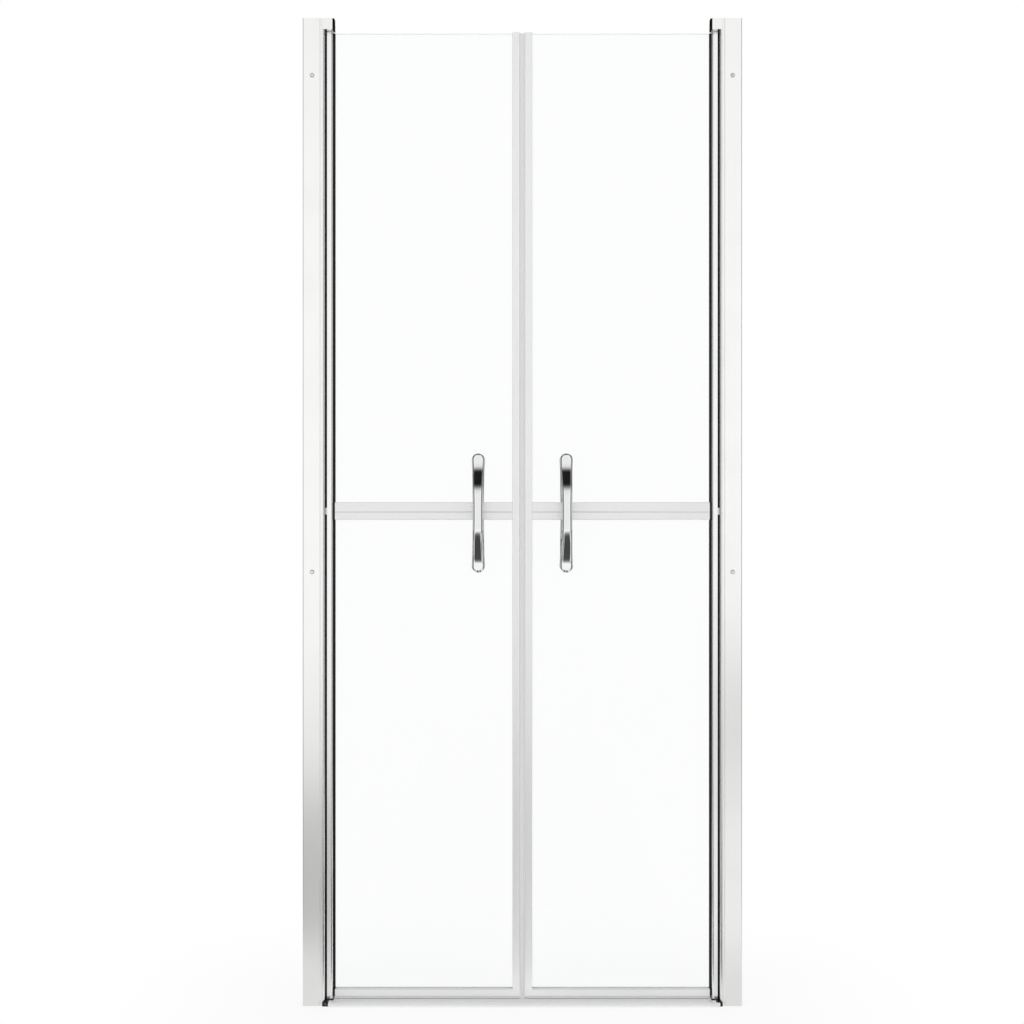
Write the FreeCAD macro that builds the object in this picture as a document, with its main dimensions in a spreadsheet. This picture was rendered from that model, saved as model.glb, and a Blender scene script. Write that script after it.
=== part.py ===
import FreeCAD, Part
import math
import os
from types import SimpleNamespace

import Sketcher

# Two-leaf swinging shower door for a niche, in millimetres.
# X runs along the doorway, from left to right as seen from the bathroom. Y points into the shower. Z is up.
# The origin lies on the shower tray, midway between the two walls and midway through the door's depth.
# Both sides are alike, so a place along X is given as "off", its distance from the middle of the doorway.

SIZES = {
    # whole door, and the ease given to every cut
    "overall_width": 845.0,
    "overall_height": 1900.0,
    "overrun": 1.0,
    # wall profile: the channel screwed to the wall
    "wall_width": 37.0,
    "wall_depth": 40.0,
    "wall_web": 2.0,
    "wall_flange": 1.5,
    "wall_corner": 1.6,
    "wall_line_inset": 3.5,
    "wall_line_width": 1.0,
    "wall_line_depth": 0.4,
    "wall_hole_radius": 2.6,
    "wall_hole_outer_inset": 70.0,
    "wall_hole_inner_inset": 640.0,
    # adjusting profile: slides in the wall profile and carries the leaf's pivots
    "slide_clearance": 0.3,
    "slide_travel": 10.0,
    "tongue_gap": 1.0,
    "adjust_wall": 1.6,
    "nose_step": 0.9,
    "nose_web": 5.0,
    "lip_reach": 4.0,
    "lip_depth": 5.6,
    "lip_round": 3.4,
    "seal_slot_width": 5.0,
    "seal_slot_depth": 2.6,
    # clamp screws through the wall profile's front, with their nuts
    "clamp_inset": 18.1,
    "clamp_low": 834.6,
    "clamp_top_inset": 110.4,
    "clamp_radius": 2.0,
    "clamp_hole_clearance": 0.2,
    "clamp_length": 9.0,
    "clamp_head_radius": 4.2,
    "clamp_head_rim": 1.0,
    "clamp_head_dome": 1.0,
    "clamp_head_crown_radius": 3.0,
    "clamp_socket_radius": 1.5,
    "clamp_socket_depth": 1.3,
    "nut_width": 8.0,
    "nut_height": 3.0,
    "nut_clearance": 0.2,
    # groove between the adjusting profile and the leaf, with its seal
    "groove_width": 7.0,
    "groove_seal_skin": 1.1,
    "groove_seal_depth": 24.0,
    "groove_seal_base": 10.0,
    "groove_seal_tip": 5.0,
    "soft_clearance": 0.3,
    "root_clearance": 0.1,
    # top pivot block
    "block_width": 19.8,
    "block_height": 21.2,
    "block_round": 1.2,
    # bottom pivot foot
    "foot_depth": 45.0,
    "foot_width": 11.3,
    "foot_tail_depth": 24.0,
    "foot_tail_reach": 7.5,
    "foot_seat_drop": 0.8,
    "foot_floor": 1.6,
    # screws that hold the block and the foot to the adjusting profile
    "block_screw_radius": 1.75,
    "block_screw_grip": 9.0,
    "block_screw_spread": 9.0,
    "block_screw_head_radius": 3.4,
    "block_screw_head_height": 2.2,
    "lock_screw_radius": 2.2,
    "lock_screw_length": 6.0,
    "lock_screw_height": 4.4,
    "lock_screw_inset": 5.6,
    "lock_screw_proud": 0.3,
    "lock_socket_radius": 1.1,
    "lock_socket_depth": 1.5,
    # pivots
    "axis_inset": 4.6,
    "pin_radius": 3.0,
    "pin_clearance": 0.05,
    "pin_end_gap": 0.8,
    "bush_wall": 1.95,
    "bush_length": 10.0,
    "bush_flange_radius": 6.6,
    "bush_flange_height": 0.8,
    "bush_flange_clearance": 0.2,
    "plug_radius": 4.0,
    "plug_length": 25.0,
    "thrust_gap": 0.05,
    # leaf as a whole
    "leaf_top_drop": 23.2,
    "leaf_bottom": 8.6,
    "glass_thickness": 4.0,
    "liner_gauge": 0.8,
    "edge_gap": 0.4,
    # hinge stile, its black gasket and its guide
    "stile_width": 11.2,
    "stile_depth": 16.0,
    "stile_round": 3.6,
    "stile_back_round": 0.6,
    "stile_slot_depth": 2.0,
    "gasket_gauge": 1.6,
    "gasket_floor": 0.5,
    "gasket_reach": 4.0,
    "guide_height": 12.6,
    "guide_centre": 951.5,
    "guide_clearance": 0.3,
    "guide_depth": 17.4,
    # meeting stile
    "seam_half": 5.0,
    "meeting_width": 14.1,
    "meeting_depth": 16.0,
    "meeting_round": 1.2,
    "meeting_slot_depth": 9.1,
    "rib_pitch": 3.2,
    "rib_width": 0.9,
    "rib_depth": 0.35,
    "cap_height": 1.6,
    # magnetic seal in the meeting stile
    "carrier_neck": 5.0,
    "carrier_head": 8.0,
    "carrier_neck_length": 1.3,
    "carrier_head_length": 1.7,
    "carrier_width": 11.0,
    "carrier_reach": 2.2,
    "carrier_clearance": 0.15,
    "magnet_width": 9.0,
    "magnet_gap": 0.25,
    "magnet_joint_height": 859.0,
    "magnet_joint_gap": 0.5,
    # rails
    "mid_rail_centre": 951.9,
    "mid_rail_height": 33.6,
    "mid_rail_depth": 14.0,
    "mid_rail_slot": 10.0,
    "mid_rail_line_drop": 1.9,
    "mid_rail_line_width": 1.6,
    "mid_rail_line_depth": 0.6,
    "mid_rail_chamber": 8.6,
    "mid_rail_round": 0.8,
    "joint_width": 4.0,
    "joint_depth": 12.0,
    "joint_inset": 1.5,
    "tenon_length": 20.0,
    "tenon_clearance": 0.1,
    "rail_screw_radius": 1.75,
    "rail_screw_head_radius": 3.0,
    "rail_screw_head_height": 1.4,
    "rail_screw_reach": 14.0,
    "bottom_rail_low": 13.6,
    "bottom_rail_height": 13.5,
    "bottom_rail_slot": 8.0,
    # drip seal under the bottom rail
    "drip_neck": 3.0,
    "drip_head": 5.4,
    "drip_neck_height": 1.2,
    "drip_head_height": 1.6,
    "drip_width": 10.0,
    "drip_plate": 1.1,
    "drip_tip": 1.4,
    "drip_clearance": 0.6,
    # threshold strip on the tray
    "threshold_depth": 54.0,
    "threshold_height": 7.8,
    "threshold_shoulder": 4.8,
    "threshold_bevel": 3.4,
    "threshold_gauge": 1.6,
    "threshold_rib": 2.0,
    "threshold_round": 1.0,
    "threshold_right_inset": 43.0,
    "threshold_clearance": 0.4,
    "tape_height": 1.0,
    "tape_width": 9.0,
    # handles
    "handle_off": 85.2,
    "handle_centre": 948.0,
    "handle_length": 230.6,
    "handle_fixing_spread": 200.0,
    "handle_paddle_width": 25.0,
    "handle_grip_width": 19.0,
    "handle_paddle_length": 29.0,
    "handle_slope_length": 40.0,
    "handle_rise": 40.0,
    "handle_gauge": 8.0,
    "handle_bend_radius": 20.0,
    "handle_edge_round": 3.4,
    "stud_radius": 3.0,
    "stud_depth": 5.0,
    "stud_bush_clearance": 0.2,
    "pane_hole_radius": 6.0,
    "pane_bush_clearance": 0.2,
    "pane_bush_flange_radius": 9.0,
    "pane_bush_flange_height": 1.0,
}

LEFT = -1
RIGHT = 1
OUTER = -1
INNER = 1
SIDE_NAMES = {LEFT: "left", RIGHT: "right"}
FACE_NAMES = {OUTER: "outer", INNER: "inner"}
TOUCH = 1e-4
SHARP_DEGREES = 30
TRIMMED_SHARE = 0.95


class Size:
    """A length together with the sheet expression that gives it."""

    def __init__(self, value, text):
        self.value = value
        self.text = text

    def _join(self, other, sign, value):
        """A new length from this one and another length or plain ratio."""
        return Size(value, f"({self.text} {sign} {as_size(other).text})")

    def __add__(self, other):
        return self._join(other, "+", self.value + as_size(other).value)

    def __sub__(self, other):
        return self._join(other, "-", self.value - as_size(other).value)

    def __mul__(self, other):
        return self._join(other, "*", self.value * as_size(other).value)

    def __truediv__(self, other):
        return self._join(other, "/", self.value / as_size(other).value)

    def __neg__(self):
        return Size(-self.value, f"(0 - {self.text})")


def as_size(value):
    """The value itself if it is a length, or a plain number as one."""
    return value if isinstance(value, Size) else Size(float(value), str(value))


def root(length):
    """The square root of a squared length."""
    return Size(math.sqrt(length.value), f"sqrt({length.text})")


doc = FreeCAD.newDocument("ShowerDoor")
sheet = doc.addObject("Spreadsheet::Sheet", "Sizes")
for row, (name, value) in enumerate(SIZES.items(), 1):
    sheet.set(f"A{row}", name)
    sheet.set(f"B{row}", str(value))
    sheet.setAlias(f"B{row}", name)
doc.recompute()
size = SimpleNamespace(**{name: Size(value, f"Sizes.{name}") for name, value in SIZES.items()})
ZERO = as_size(0)
parts = {}

# Places along X, as distances from the middle of the doorway
wall_off = size.overall_width / 2
mouth_off = wall_off - size.wall_width
nose_off = mouth_off - size.nose_step
lip_off = nose_off - size.lip_reach
foot_off = nose_off - size.foot_width
stile_wall_off = nose_off - size.groove_width
stile_glass_off = stile_wall_off - size.stile_width
axis_off = stile_wall_off - size.axis_inset
stile_slot_off = stile_glass_off + size.stile_slot_depth
gasket_off = stile_glass_off - size.gasket_reach
rail_off = stile_glass_off - size.joint_width
meeting_off = size.seam_half + size.meeting_width
meeting_slot_off = meeting_off - size.meeting_slot_depth
pane_wall_off = stile_slot_off - size.gasket_floor
pane_seam_off = meeting_slot_off + size.edge_gap
clamp_off = wall_off - size.clamp_inset

clamp_high = size.overall_height - size.clamp_top_inset

# Half depths along Y
wall_half = size.wall_depth / 2
adjust_half = wall_half - size.wall_flange - size.slide_clearance
stile_half = size.stile_depth / 2
glass_half = size.glass_thickness / 2
liner_half = glass_half + size.liner_gauge
gasket_half = glass_half + size.gasket_gauge
meeting_half = size.meeting_depth / 2
rail_half = size.mid_rail_depth / 2
back_radius = root(size.axis_inset * size.axis_inset + stile_half * stile_half)

# Heights
block_low = size.overall_height - size.block_height
block_middle = size.overall_height - size.block_height / 2
foot_middle = size.threshold_height / 2
foot_seat = size.threshold_height - size.foot_seat_drop
leaf_top = size.overall_height - size.leaf_top_drop
leaf_height = leaf_top - size.leaf_bottom
mid_rail_low = size.mid_rail_centre - size.mid_rail_height / 2
mid_rail_high = size.mid_rail_centre + size.mid_rail_height / 2
mid_joint_low = mid_rail_low + size.joint_inset
mid_joint_high = mid_rail_high - size.joint_inset
bottom_rail_high = size.bottom_rail_low + size.bottom_rail_height
upper_pane_low = mid_rail_high - size.mid_rail_slot + size.edge_gap
lower_pane_high = mid_rail_low + size.mid_rail_slot - size.edge_gap
lower_pane_low = bottom_rail_high - size.bottom_rail_slot + size.edge_gap
guide_low = size.guide_centre - size.guide_height / 2
guide_high = size.guide_centre + size.guide_height / 2


def bind(thing, prop, length):
    """Bind one property of an object to the sheet."""
    thing.setExpression(prop, as_size(length).text)


def place(thing, x=ZERO, y=ZERO, z=ZERO):
    """Bind an object's place to the sheet."""
    bind(thing, "Placement.Base.x", x)
    bind(thing, "Placement.Base.y", y)
    bind(thing, "Placement.Base.z", z)


def span(side, near, far):
    """Start along X and length of a stretch between two distances from the middle."""
    start = near if side == RIGHT else -far
    return start, far - near


def at(side, off):
    """The X of a distance from the middle, on one side."""
    return off * side


def mirrored(side, points):
    """Plan points given as (distance from the middle, Y), turned into X and Y."""
    return [(at(side, off), y) for off, y in points]


def add_loop(sketch, points, arcs=None):
    """Add a closed outline of straight lines, or of arcs given by a radius and a point midway along."""
    arcs = arcs or {}
    first = sketch.GeometryCount
    count = len(points)
    corners = [FreeCAD.Vector(x.value, y.value, 0) for x, y in points]
    ends = []
    for index in range(count):
        start, end = corners[index], corners[(index + 1) % count]
        if index in arcs:
            radius, (x, y) = arcs[index]
            curve = Part.Arc(start, FreeCAD.Vector(x.value, y.value, 0), end)
        else:
            curve = Part.LineSegment(start, end)
        geometry = sketch.addGeometry(curve, False)
        forward = sketch.getPoint(geometry, 1).distanceToPoint(start) < TOUCH
        ends.append((1, 2) if forward else (2, 1))
    for index in range(count):
        follower = (index + 1) % count
        sketch.addConstraint(Sketcher.Constraint(
            "Coincident", first + index, ends[index][1], first + follower, ends[follower][0]
        ))
    for index, (x, y) in enumerate(points):
        pin_point(sketch, first + index, ends[index][0], x, y)
    for index, (radius, _) in arcs.items():
        bind_radius(sketch, first + index, radius)


def pin_point(sketch, geometry, end, x, y):
    """Bind a point of a sketch to a place from the sheet."""
    for kind, length in (("DistanceX", x), ("DistanceY", y)):
        constraint = sketch.addConstraint(Sketcher.Constraint(kind, -1, 1, geometry, end, length.value))
        sketch.setExpression(f"Constraints[{constraint}]", length.text)


def add_circle(sketch, x, y, radius):
    """Add a circle bound to the sheet."""
    centre = FreeCAD.Vector(x.value, y.value, 0)
    circle = sketch.addGeometry(Part.Circle(centre, FreeCAD.Vector(0, 0, 1), radius.value), False)
    pin_point(sketch, circle, 3, x, y)
    bind_radius(sketch, circle, radius)


def bind_radius(sketch, geometry, radius):
    """Bind the radius of a circle or arc to the sheet."""
    constraint = sketch.addConstraint(Sketcher.Constraint("Radius", geometry, radius.value))
    sketch.setExpression(f"Constraints[{constraint}]", radius.text)


def new_body(name, plane):
    """A body with an empty sketch on one of its own origin planes."""
    body = doc.addObject("PartDesign::Body", name + "_body")
    return body, new_sketch(body, name, plane)


def new_sketch(body, name, plane):
    """An empty sketch on one of a body's own origin planes."""
    sketch = body.newObject("Sketcher::SketchObject", name + "_sketch")
    support = [feature for feature in body.Origin.OriginFeatures if feature.Role == plane][0]
    sketch.AttachmentSupport = [(support, "")]
    sketch.MapMode = "FlatFace"
    return sketch


def pad(body, sketch, length, midplane=False):
    """Extrude a body's sketch by a length from the sheet."""
    feature = body.newObject("PartDesign::Pad", body.Name + "_pad")
    feature.Profile = sketch
    feature.SideType = "Symmetric" if midplane else "One side"
    bind(feature, "Length", length)
    return feature


def round_corners(body, feature, corners, radius, direction="z"):
    """Round the long edges that stand on the given corners of the body's outline."""
    doc.recompute()
    axes = {"z": ("x", "y"), "x": ("y", "z"), "y": ("x", "z")}[direction]
    edges = []
    for index, edge in enumerate(feature.Shape.Edges, 1):
        middle = edge.CenterOfMass
        lengthwise = abs(getattr(edge.tangentAt(edge.FirstParameter), direction)) > 1 - TOUCH
        spot = (getattr(middle, axes[0]), getattr(middle, axes[1]))
        near = any(math.dist(spot, (a.value, b.value)) < TOUCH for a, b in corners)
        if lengthwise and near:
            edges.append(f"Edge{index}")
    if len(edges) != len(corners):
        raise ValueError(f"{body.Name}: {len(edges)} edges to round, {len(corners)} wanted")
    fillet = body.newObject("PartDesign::Fillet", body.Name + "_round")
    fillet.Base = (feature, edges)
    bind(fillet, "Radius", radius)
    return fillet


def upright(name, outlines, low, height, rounded=(), radius=None):
    """A profile that stands along Z: outlines in plan, its foot's height and its length."""
    body, sketch = new_body(name, "XY_Plane")
    for outline in outlines:
        add_loop(sketch, outline)
    feature = pad(body, sketch, height)
    if rounded:
        round_corners(body, feature, rounded, radius)
    place(body, z=low)
    return body


def lengthwise(name, outlines, start, length, rounded=(), radius=None):
    """A profile that lies along X: outlines in (Y, Z), its start and its length."""
    body, sketch = new_body(name, "YZ_Plane")
    for outline in outlines:
        add_loop(sketch, outline)
    feature = pad(body, sketch, length)
    if rounded:
        round_corners(body, feature, rounded, radius, "x")
    place(body, x=start)
    return body


def block(name, side, near, far, half, low, height):
    """A plain block between two distances from the middle, centred through the depth."""
    box = doc.addObject("Part::Box", name)
    start, length = span(side, near, far)
    bind(box, "Length", length)
    bind(box, "Width", half * 2)
    bind(box, "Height", height)
    place(box, start, -half, low)
    return box


AXIS_TURNS = {
    "x": FreeCAD.Rotation(FreeCAD.Vector(0, 1, 0), 90),
    "y": FreeCAD.Rotation(FreeCAD.Vector(1, 0, 0), -90),
    "z": FreeCAD.Rotation(),
}


def rod(name, axis, radius, length, x, y, z):
    """A round rod that starts at a place and runs along +X, +Y or +Z."""
    cylinder = doc.addObject("Part::Cylinder", name)
    bind(cylinder, "Radius", radius)
    bind(cylinder, "Height", length)
    cylinder.Placement = FreeCAD.Placement(FreeCAD.Vector(), AXIS_TURNS[axis])
    place(cylinder, x, y, z)
    return cylinder


def prism(name, axis, radius, length, x, y, z):
    """A hexagonal rod that starts at a place and runs along +X, +Y or +Z."""
    shape = doc.addObject("Part::Prism", name)
    shape.Polygon = 6
    bind(shape, "Circumradius", radius)
    bind(shape, "Height", length)
    shape.Placement = FreeCAD.Placement(FreeCAD.Vector(), AXIS_TURNS[axis])
    place(shape, x, y, z)
    return shape


def cut(name, base, *tools):
    """A piece with tools taken out of it."""
    tool = tools[0] if len(tools) == 1 else group(name + "_tools", tools)
    result = doc.addObject("Part::Cut", name + "_cut")
    result.Base = base
    result.Tool = tool
    return result


def fuse(name, *shapes):
    """Several shapes grown into one piece."""
    result = doc.addObject("Part::MultiFuse", name + "_fuse")
    result.Shapes = list(shapes)
    result.Refine = True
    return result


def group(name, shapes):
    """Several separate pieces kept together."""
    result = doc.addObject("Part::Compound", name + "_group")
    result.Links = list(shapes)
    return result


def keep(name, thing):
    """Name a finished sub-part, which also names its file."""
    thing.Label = name
    parts[name] = thing


def wall_profile(side):
    """Channel against the wall, with a fine line along its front and back."""
    line_off = mouth_off + size.wall_line_inset
    half_line = size.wall_line_width / 2
    inner = wall_half - size.wall_flange
    floor_off = wall_off - size.wall_web
    front = [
        (wall_off, -wall_half),
        (line_off + half_line, -wall_half),
        (line_off, -wall_half + size.wall_line_depth),
        (line_off - half_line, -wall_half),
        (mouth_off, -wall_half),
        (mouth_off, -inner),
        (floor_off, -inner),
    ]
    back = [(off, -y) for off, y in reversed(front)]
    name = f"wall_profile_{SIDE_NAMES[side]}"
    corners = mirrored(side, [(wall_off, -wall_half), (wall_off, wall_half)])
    body = upright(name, [mirrored(side, front + back)], ZERO, size.overall_height, corners, size.wall_corner)
    tools = []
    for height in (size.clamp_low, clamp_high):
        radius = size.clamp_radius + size.clamp_hole_clearance
        start = -wall_half - size.overrun
        length = size.wall_flange + size.overrun * 2
        tools.append(rod(f"{name}_clamp_hole", "y", radius, length, at(side, clamp_off), start, height))
    for inset in (size.wall_hole_outer_inset, size.wall_hole_inner_inset):
        for height in (inset, size.overall_height - inset):
            start, length = span(side, floor_off - size.overrun, wall_off + size.overrun)
            tools.append(rod(f"{name}_wall_hole", "x", size.wall_hole_radius, length, start, ZERO, height))
    keep(name, cut(name, body, *tools))


def adjusting_profile(side):
    """Channel in the wall profile, its thick nose facing the leaf between two round lips."""
    name = f"adjusting_profile_{SIDE_NAMES[side]}"
    back_off = wall_off - size.wall_web - size.tongue_gap
    inner = adjust_half - size.adjust_wall
    web_off = nose_off + size.nose_web
    slot_half = size.seal_slot_width / 2
    slot_off = nose_off + size.seal_slot_depth
    lip_inner = adjust_half - size.lip_depth
    half_outline = [
        (back_off, -inner),
        (back_off, -adjust_half),
        (lip_off, -adjust_half),
        (lip_off, -lip_inner),
        (nose_off, -lip_inner),
        (nose_off, -slot_half),
        (slot_off, -slot_half),
    ]
    other_half = [(off, -y) for off, y in reversed(half_outline)]
    outline = half_outline + other_half + [(web_off, inner), (web_off, -inner)]
    lips = mirrored(side, [(lip_off, -adjust_half), (lip_off, adjust_half)])
    body = upright(name, [mirrored(side, outline)], ZERO, size.overall_height, lips, size.lip_round)
    relief_off = lip_off - size.overrun
    relief_half = adjust_half + size.overrun
    tools = [
        block(f"{name}_foot_relief", side, relief_off, nose_off, relief_half, ZERO, size.threshold_height),
        block(f"{name}_top_relief", side, relief_off, nose_off, relief_half, block_low, size.block_height),
    ]
    slot_radius = size.clamp_radius + size.clamp_hole_clearance
    for height in (size.clamp_low, clamp_high):
        near, far = clamp_off - slot_radius, clamp_off + size.slide_travel + slot_radius
        slot = doc.addObject("Part::Box", f"{name}_slot")
        start, length = span(side, near, far)
        bind(slot, "Length", length)
        bind(slot, "Width", size.adjust_wall + size.overrun * 2)
        bind(slot, "Height", slot_radius * 2)
        place(slot, start, -adjust_half - size.overrun, height - slot_radius)
        tools.append(slot)
    for height in (foot_middle, block_middle):
        for y in (-size.block_screw_spread, size.block_screw_spread):
            start, length = span(side, nose_off - size.overrun, web_off + size.overrun)
            tools.append(rod(f"{name}_screw_hole", "x", size.block_screw_radius, length, start, y, height))
    keep(name, cut(name, body, *tools))


def clamp_screws(side):
    """Two domed socket screws that clamp the wall profile to the adjusting profile."""
    name = f"clamp_screws_{SIDE_NAMES[side]}"
    x = at(side, clamp_off)
    screws = []
    for height in (size.clamp_low, clamp_high):
        rim_start = -wall_half - size.clamp_head_rim
        crown_start = rim_start - size.clamp_head_dome
        shank = rod(f"{name}_shank", "y", size.clamp_radius, size.clamp_length, x, -wall_half, height)
        rim = rod(f"{name}_rim", "y", size.clamp_head_radius, size.clamp_head_rim, x, rim_start, height)
        dome = doc.addObject("Part::Cone", f"{name}_dome")
        bind(dome, "Radius1", size.clamp_head_crown_radius)
        bind(dome, "Radius2", size.clamp_head_radius)
        bind(dome, "Height", size.clamp_head_dome)
        dome.Placement = FreeCAD.Placement(FreeCAD.Vector(), AXIS_TURNS["y"])
        place(dome, x, crown_start, height)
        depth = size.clamp_socket_depth + size.overrun
        socket_start = crown_start - size.overrun
        socket = prism(f"{name}_socket", "y", size.clamp_socket_radius, depth, x, socket_start, height)
        screws.append(cut(name, fuse(name, shank, rim, dome), socket))
    keep(name, group(name, screws))


def clamp_nuts(side):
    """Square nuts inside the adjusting profile, one on each clamp screw."""
    name = f"clamp_nuts_{SIDE_NAMES[side]}"
    inner_face = -adjust_half + size.adjust_wall + size.nut_clearance
    nuts = []
    for height in (size.clamp_low, clamp_high):
        half = size.nut_width / 2
        nut = doc.addObject("Part::Box", f"{name}_plate")
        bind(nut, "Length", size.nut_width)
        bind(nut, "Width", size.nut_height)
        bind(nut, "Height", size.nut_width)
        place(nut, at(side, clamp_off) - half, inner_face, height - half)
        start = inner_face - size.overrun
        length = size.nut_height + size.overrun * 2
        hole = rod(f"{name}_hole", "y", size.clamp_radius, length, at(side, clamp_off), start, height)
        nuts.append(cut(name, nut, hole))
    keep(name, group(name, nuts))


def block_screw_pilots(side, name, height):
    """Holes in a block or foot for the two screws that come through the nose."""
    tools = []
    for y in (-size.block_screw_spread, size.block_screw_spread):
        start, length = span(side, nose_off - size.block_screw_grip, nose_off + size.overrun)
        tools.append(rod(f"{name}_pilot", "x", size.block_screw_radius, length, start, y, height))
    return tools


def top_pivot_block(side):
    """Block at the top of the adjusting profile that holds the leaf's upper pivot."""
    name = f"top_pivot_block_{SIDE_NAMES[side]}"
    end_off = nose_off - size.block_width
    outline = [
        (nose_off, -wall_half),
        (end_off, -wall_half),
        (end_off, wall_half),
        (nose_off, wall_half),
    ]
    points = mirrored(side, outline)
    body = upright(name, [points], block_low, size.block_height, points[1:3], size.block_round)
    bore_radius = size.pin_radius + size.pin_clearance + size.bush_wall
    bore_length = size.bush_length + size.overrun
    bore = rod(f"{name}_bore", "z", bore_radius, bore_length, at(side, axis_off), ZERO, block_low - size.overrun)
    keep(name, cut(name, body, bore, *block_screw_pilots(side, name, block_middle)))


def bottom_pivot_foot(side):
    """Foot on the tray that carries the leaf's lower pivot: wide at the nose, with a tail under the stile."""
    name = f"bottom_pivot_foot_{SIDE_NAMES[side]}"
    foot_half = size.foot_depth / 2
    height = size.threshold_height
    head = block(f"{name}_head", side, foot_off, nose_off, foot_half, ZERO, height)
    tail_end = axis_off - size.foot_tail_reach
    tail = block(f"{name}_tail", side, tail_end, nose_off, size.foot_tail_depth / 2, ZERO, height)
    x = at(side, axis_off)
    bore_radius = size.pin_radius + size.pin_clearance + size.bush_wall
    bore = rod(f"{name}_bore", "z", bore_radius, height, x, ZERO, size.foot_floor)
    seat_radius = size.bush_flange_radius + size.bush_flange_clearance
    seat = rod(f"{name}_seat", "z", seat_radius, height, x, ZERO, foot_seat)
    lock_off = nose_off - size.lock_screw_inset
    lock_start = -foot_half - size.overrun
    lock_length = size.lock_screw_length + size.overrun
    lock = rod(
        f"{name}_lock_hole", "y", size.lock_screw_radius, lock_length,
        at(side, lock_off), lock_start, size.lock_screw_height,
    )
    pilots = block_screw_pilots(side, name, foot_middle)
    keep(name, cut(name, fuse(name, head, tail), bore, seat, lock, *pilots))


def block_screws(side):
    """Screws through the nose into the top block and the foot, and the foot's lock screw."""
    name = f"block_screws_{SIDE_NAMES[side]}"
    web_off = nose_off + size.nose_web
    head_off = web_off + size.block_screw_head_height
    screws = []
    for height in (foot_middle, block_middle):
        for y in (-size.block_screw_spread, size.block_screw_spread):
            start, length = span(side, nose_off - size.block_screw_grip, web_off)
            shank = rod(f"{name}_shank", "x", size.block_screw_radius, length, start, y, height)
            start, length = span(side, web_off, head_off)
            head = rod(f"{name}_head", "x", size.block_screw_head_radius, length, start, y, height)
            screws.append(fuse(name, shank, head))
    x = at(side, nose_off - size.lock_screw_inset)
    start = -size.foot_depth / 2 - size.lock_screw_proud
    length = size.lock_screw_length + size.lock_screw_proud
    height = size.lock_screw_height
    lock = rod(f"{name}_lock", "y", size.lock_screw_radius, length, x, start, height)
    socket_length = size.lock_socket_depth + size.overrun
    socket_start = start - size.overrun
    socket = prism(f"{name}_socket", "y", size.lock_socket_radius, socket_length, x, socket_start, height)
    screws.append(cut(name, lock, socket))
    keep(name, group(name, screws))


def pivot_bushes(side):
    """Flanged bearing bushes, one in the top block and one in the foot."""
    name = f"pivot_bushes_{SIDE_NAMES[side]}"
    x = at(side, axis_off)
    bore_radius = size.pin_radius + size.pin_clearance
    sleeve_radius = bore_radius + size.bush_wall
    foot_sleeve = foot_seat - size.foot_floor
    flange_lows = (block_low - size.bush_flange_height, foot_seat)
    sleeve_lows = (block_low, size.foot_floor)
    bushes = []
    for flange_low, sleeve_low, sleeve in zip(flange_lows, sleeve_lows, (size.bush_length, foot_sleeve)):
        tube = rod(f"{name}_sleeve", "z", sleeve_radius, sleeve, x, ZERO, sleeve_low)
        rim = rod(f"{name}_flange", "z", size.bush_flange_radius, size.bush_flange_height, x, ZERO, flange_low)
        length = sleeve + size.bush_flange_height * 2 + size.overrun * 2
        start = sleeve_low - size.bush_flange_height - size.overrun
        bore = rod(f"{name}_bore", "z", bore_radius, length, x, ZERO, start)
        bushes.append(cut(name, fuse(name, tube, rim), bore))
    keep(name, group(name, bushes))


def groove_seal(side):
    """Rubber strip along the nose, its bulb close to the stile's round back."""
    name = f"groove_seal_{SIDE_NAMES[side]}"
    root_half = size.seal_slot_width / 2 - size.root_clearance
    root_off = nose_off + size.seal_slot_depth - size.root_clearance
    skin_off = nose_off - size.groove_seal_skin
    tip_off = axis_off + back_radius + size.soft_clearance
    half_outline = [
        (root_off, -root_half),
        (nose_off, -root_half),
        (nose_off, -size.groove_seal_depth / 2),
        (skin_off, -size.groove_seal_depth / 2),
        (skin_off, -size.groove_seal_base / 2),
        (tip_off, -size.groove_seal_tip / 2),
    ]
    outline = half_outline + [(off, -y) for off, y in reversed(half_outline)]
    lower_low = size.threshold_height + size.soft_clearance
    lower_height = guide_low - size.soft_clearance - lower_low
    upper_low = guide_high + size.soft_clearance
    upper_height = block_low - size.soft_clearance - upper_low
    lengths = [
        upright(f"{name}_lower", [mirrored(side, outline)], lower_low, lower_height),
        upright(f"{name}_upper", [mirrored(side, outline)], upper_low, upper_height),
    ]
    keep(name, group(name, lengths))


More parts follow.
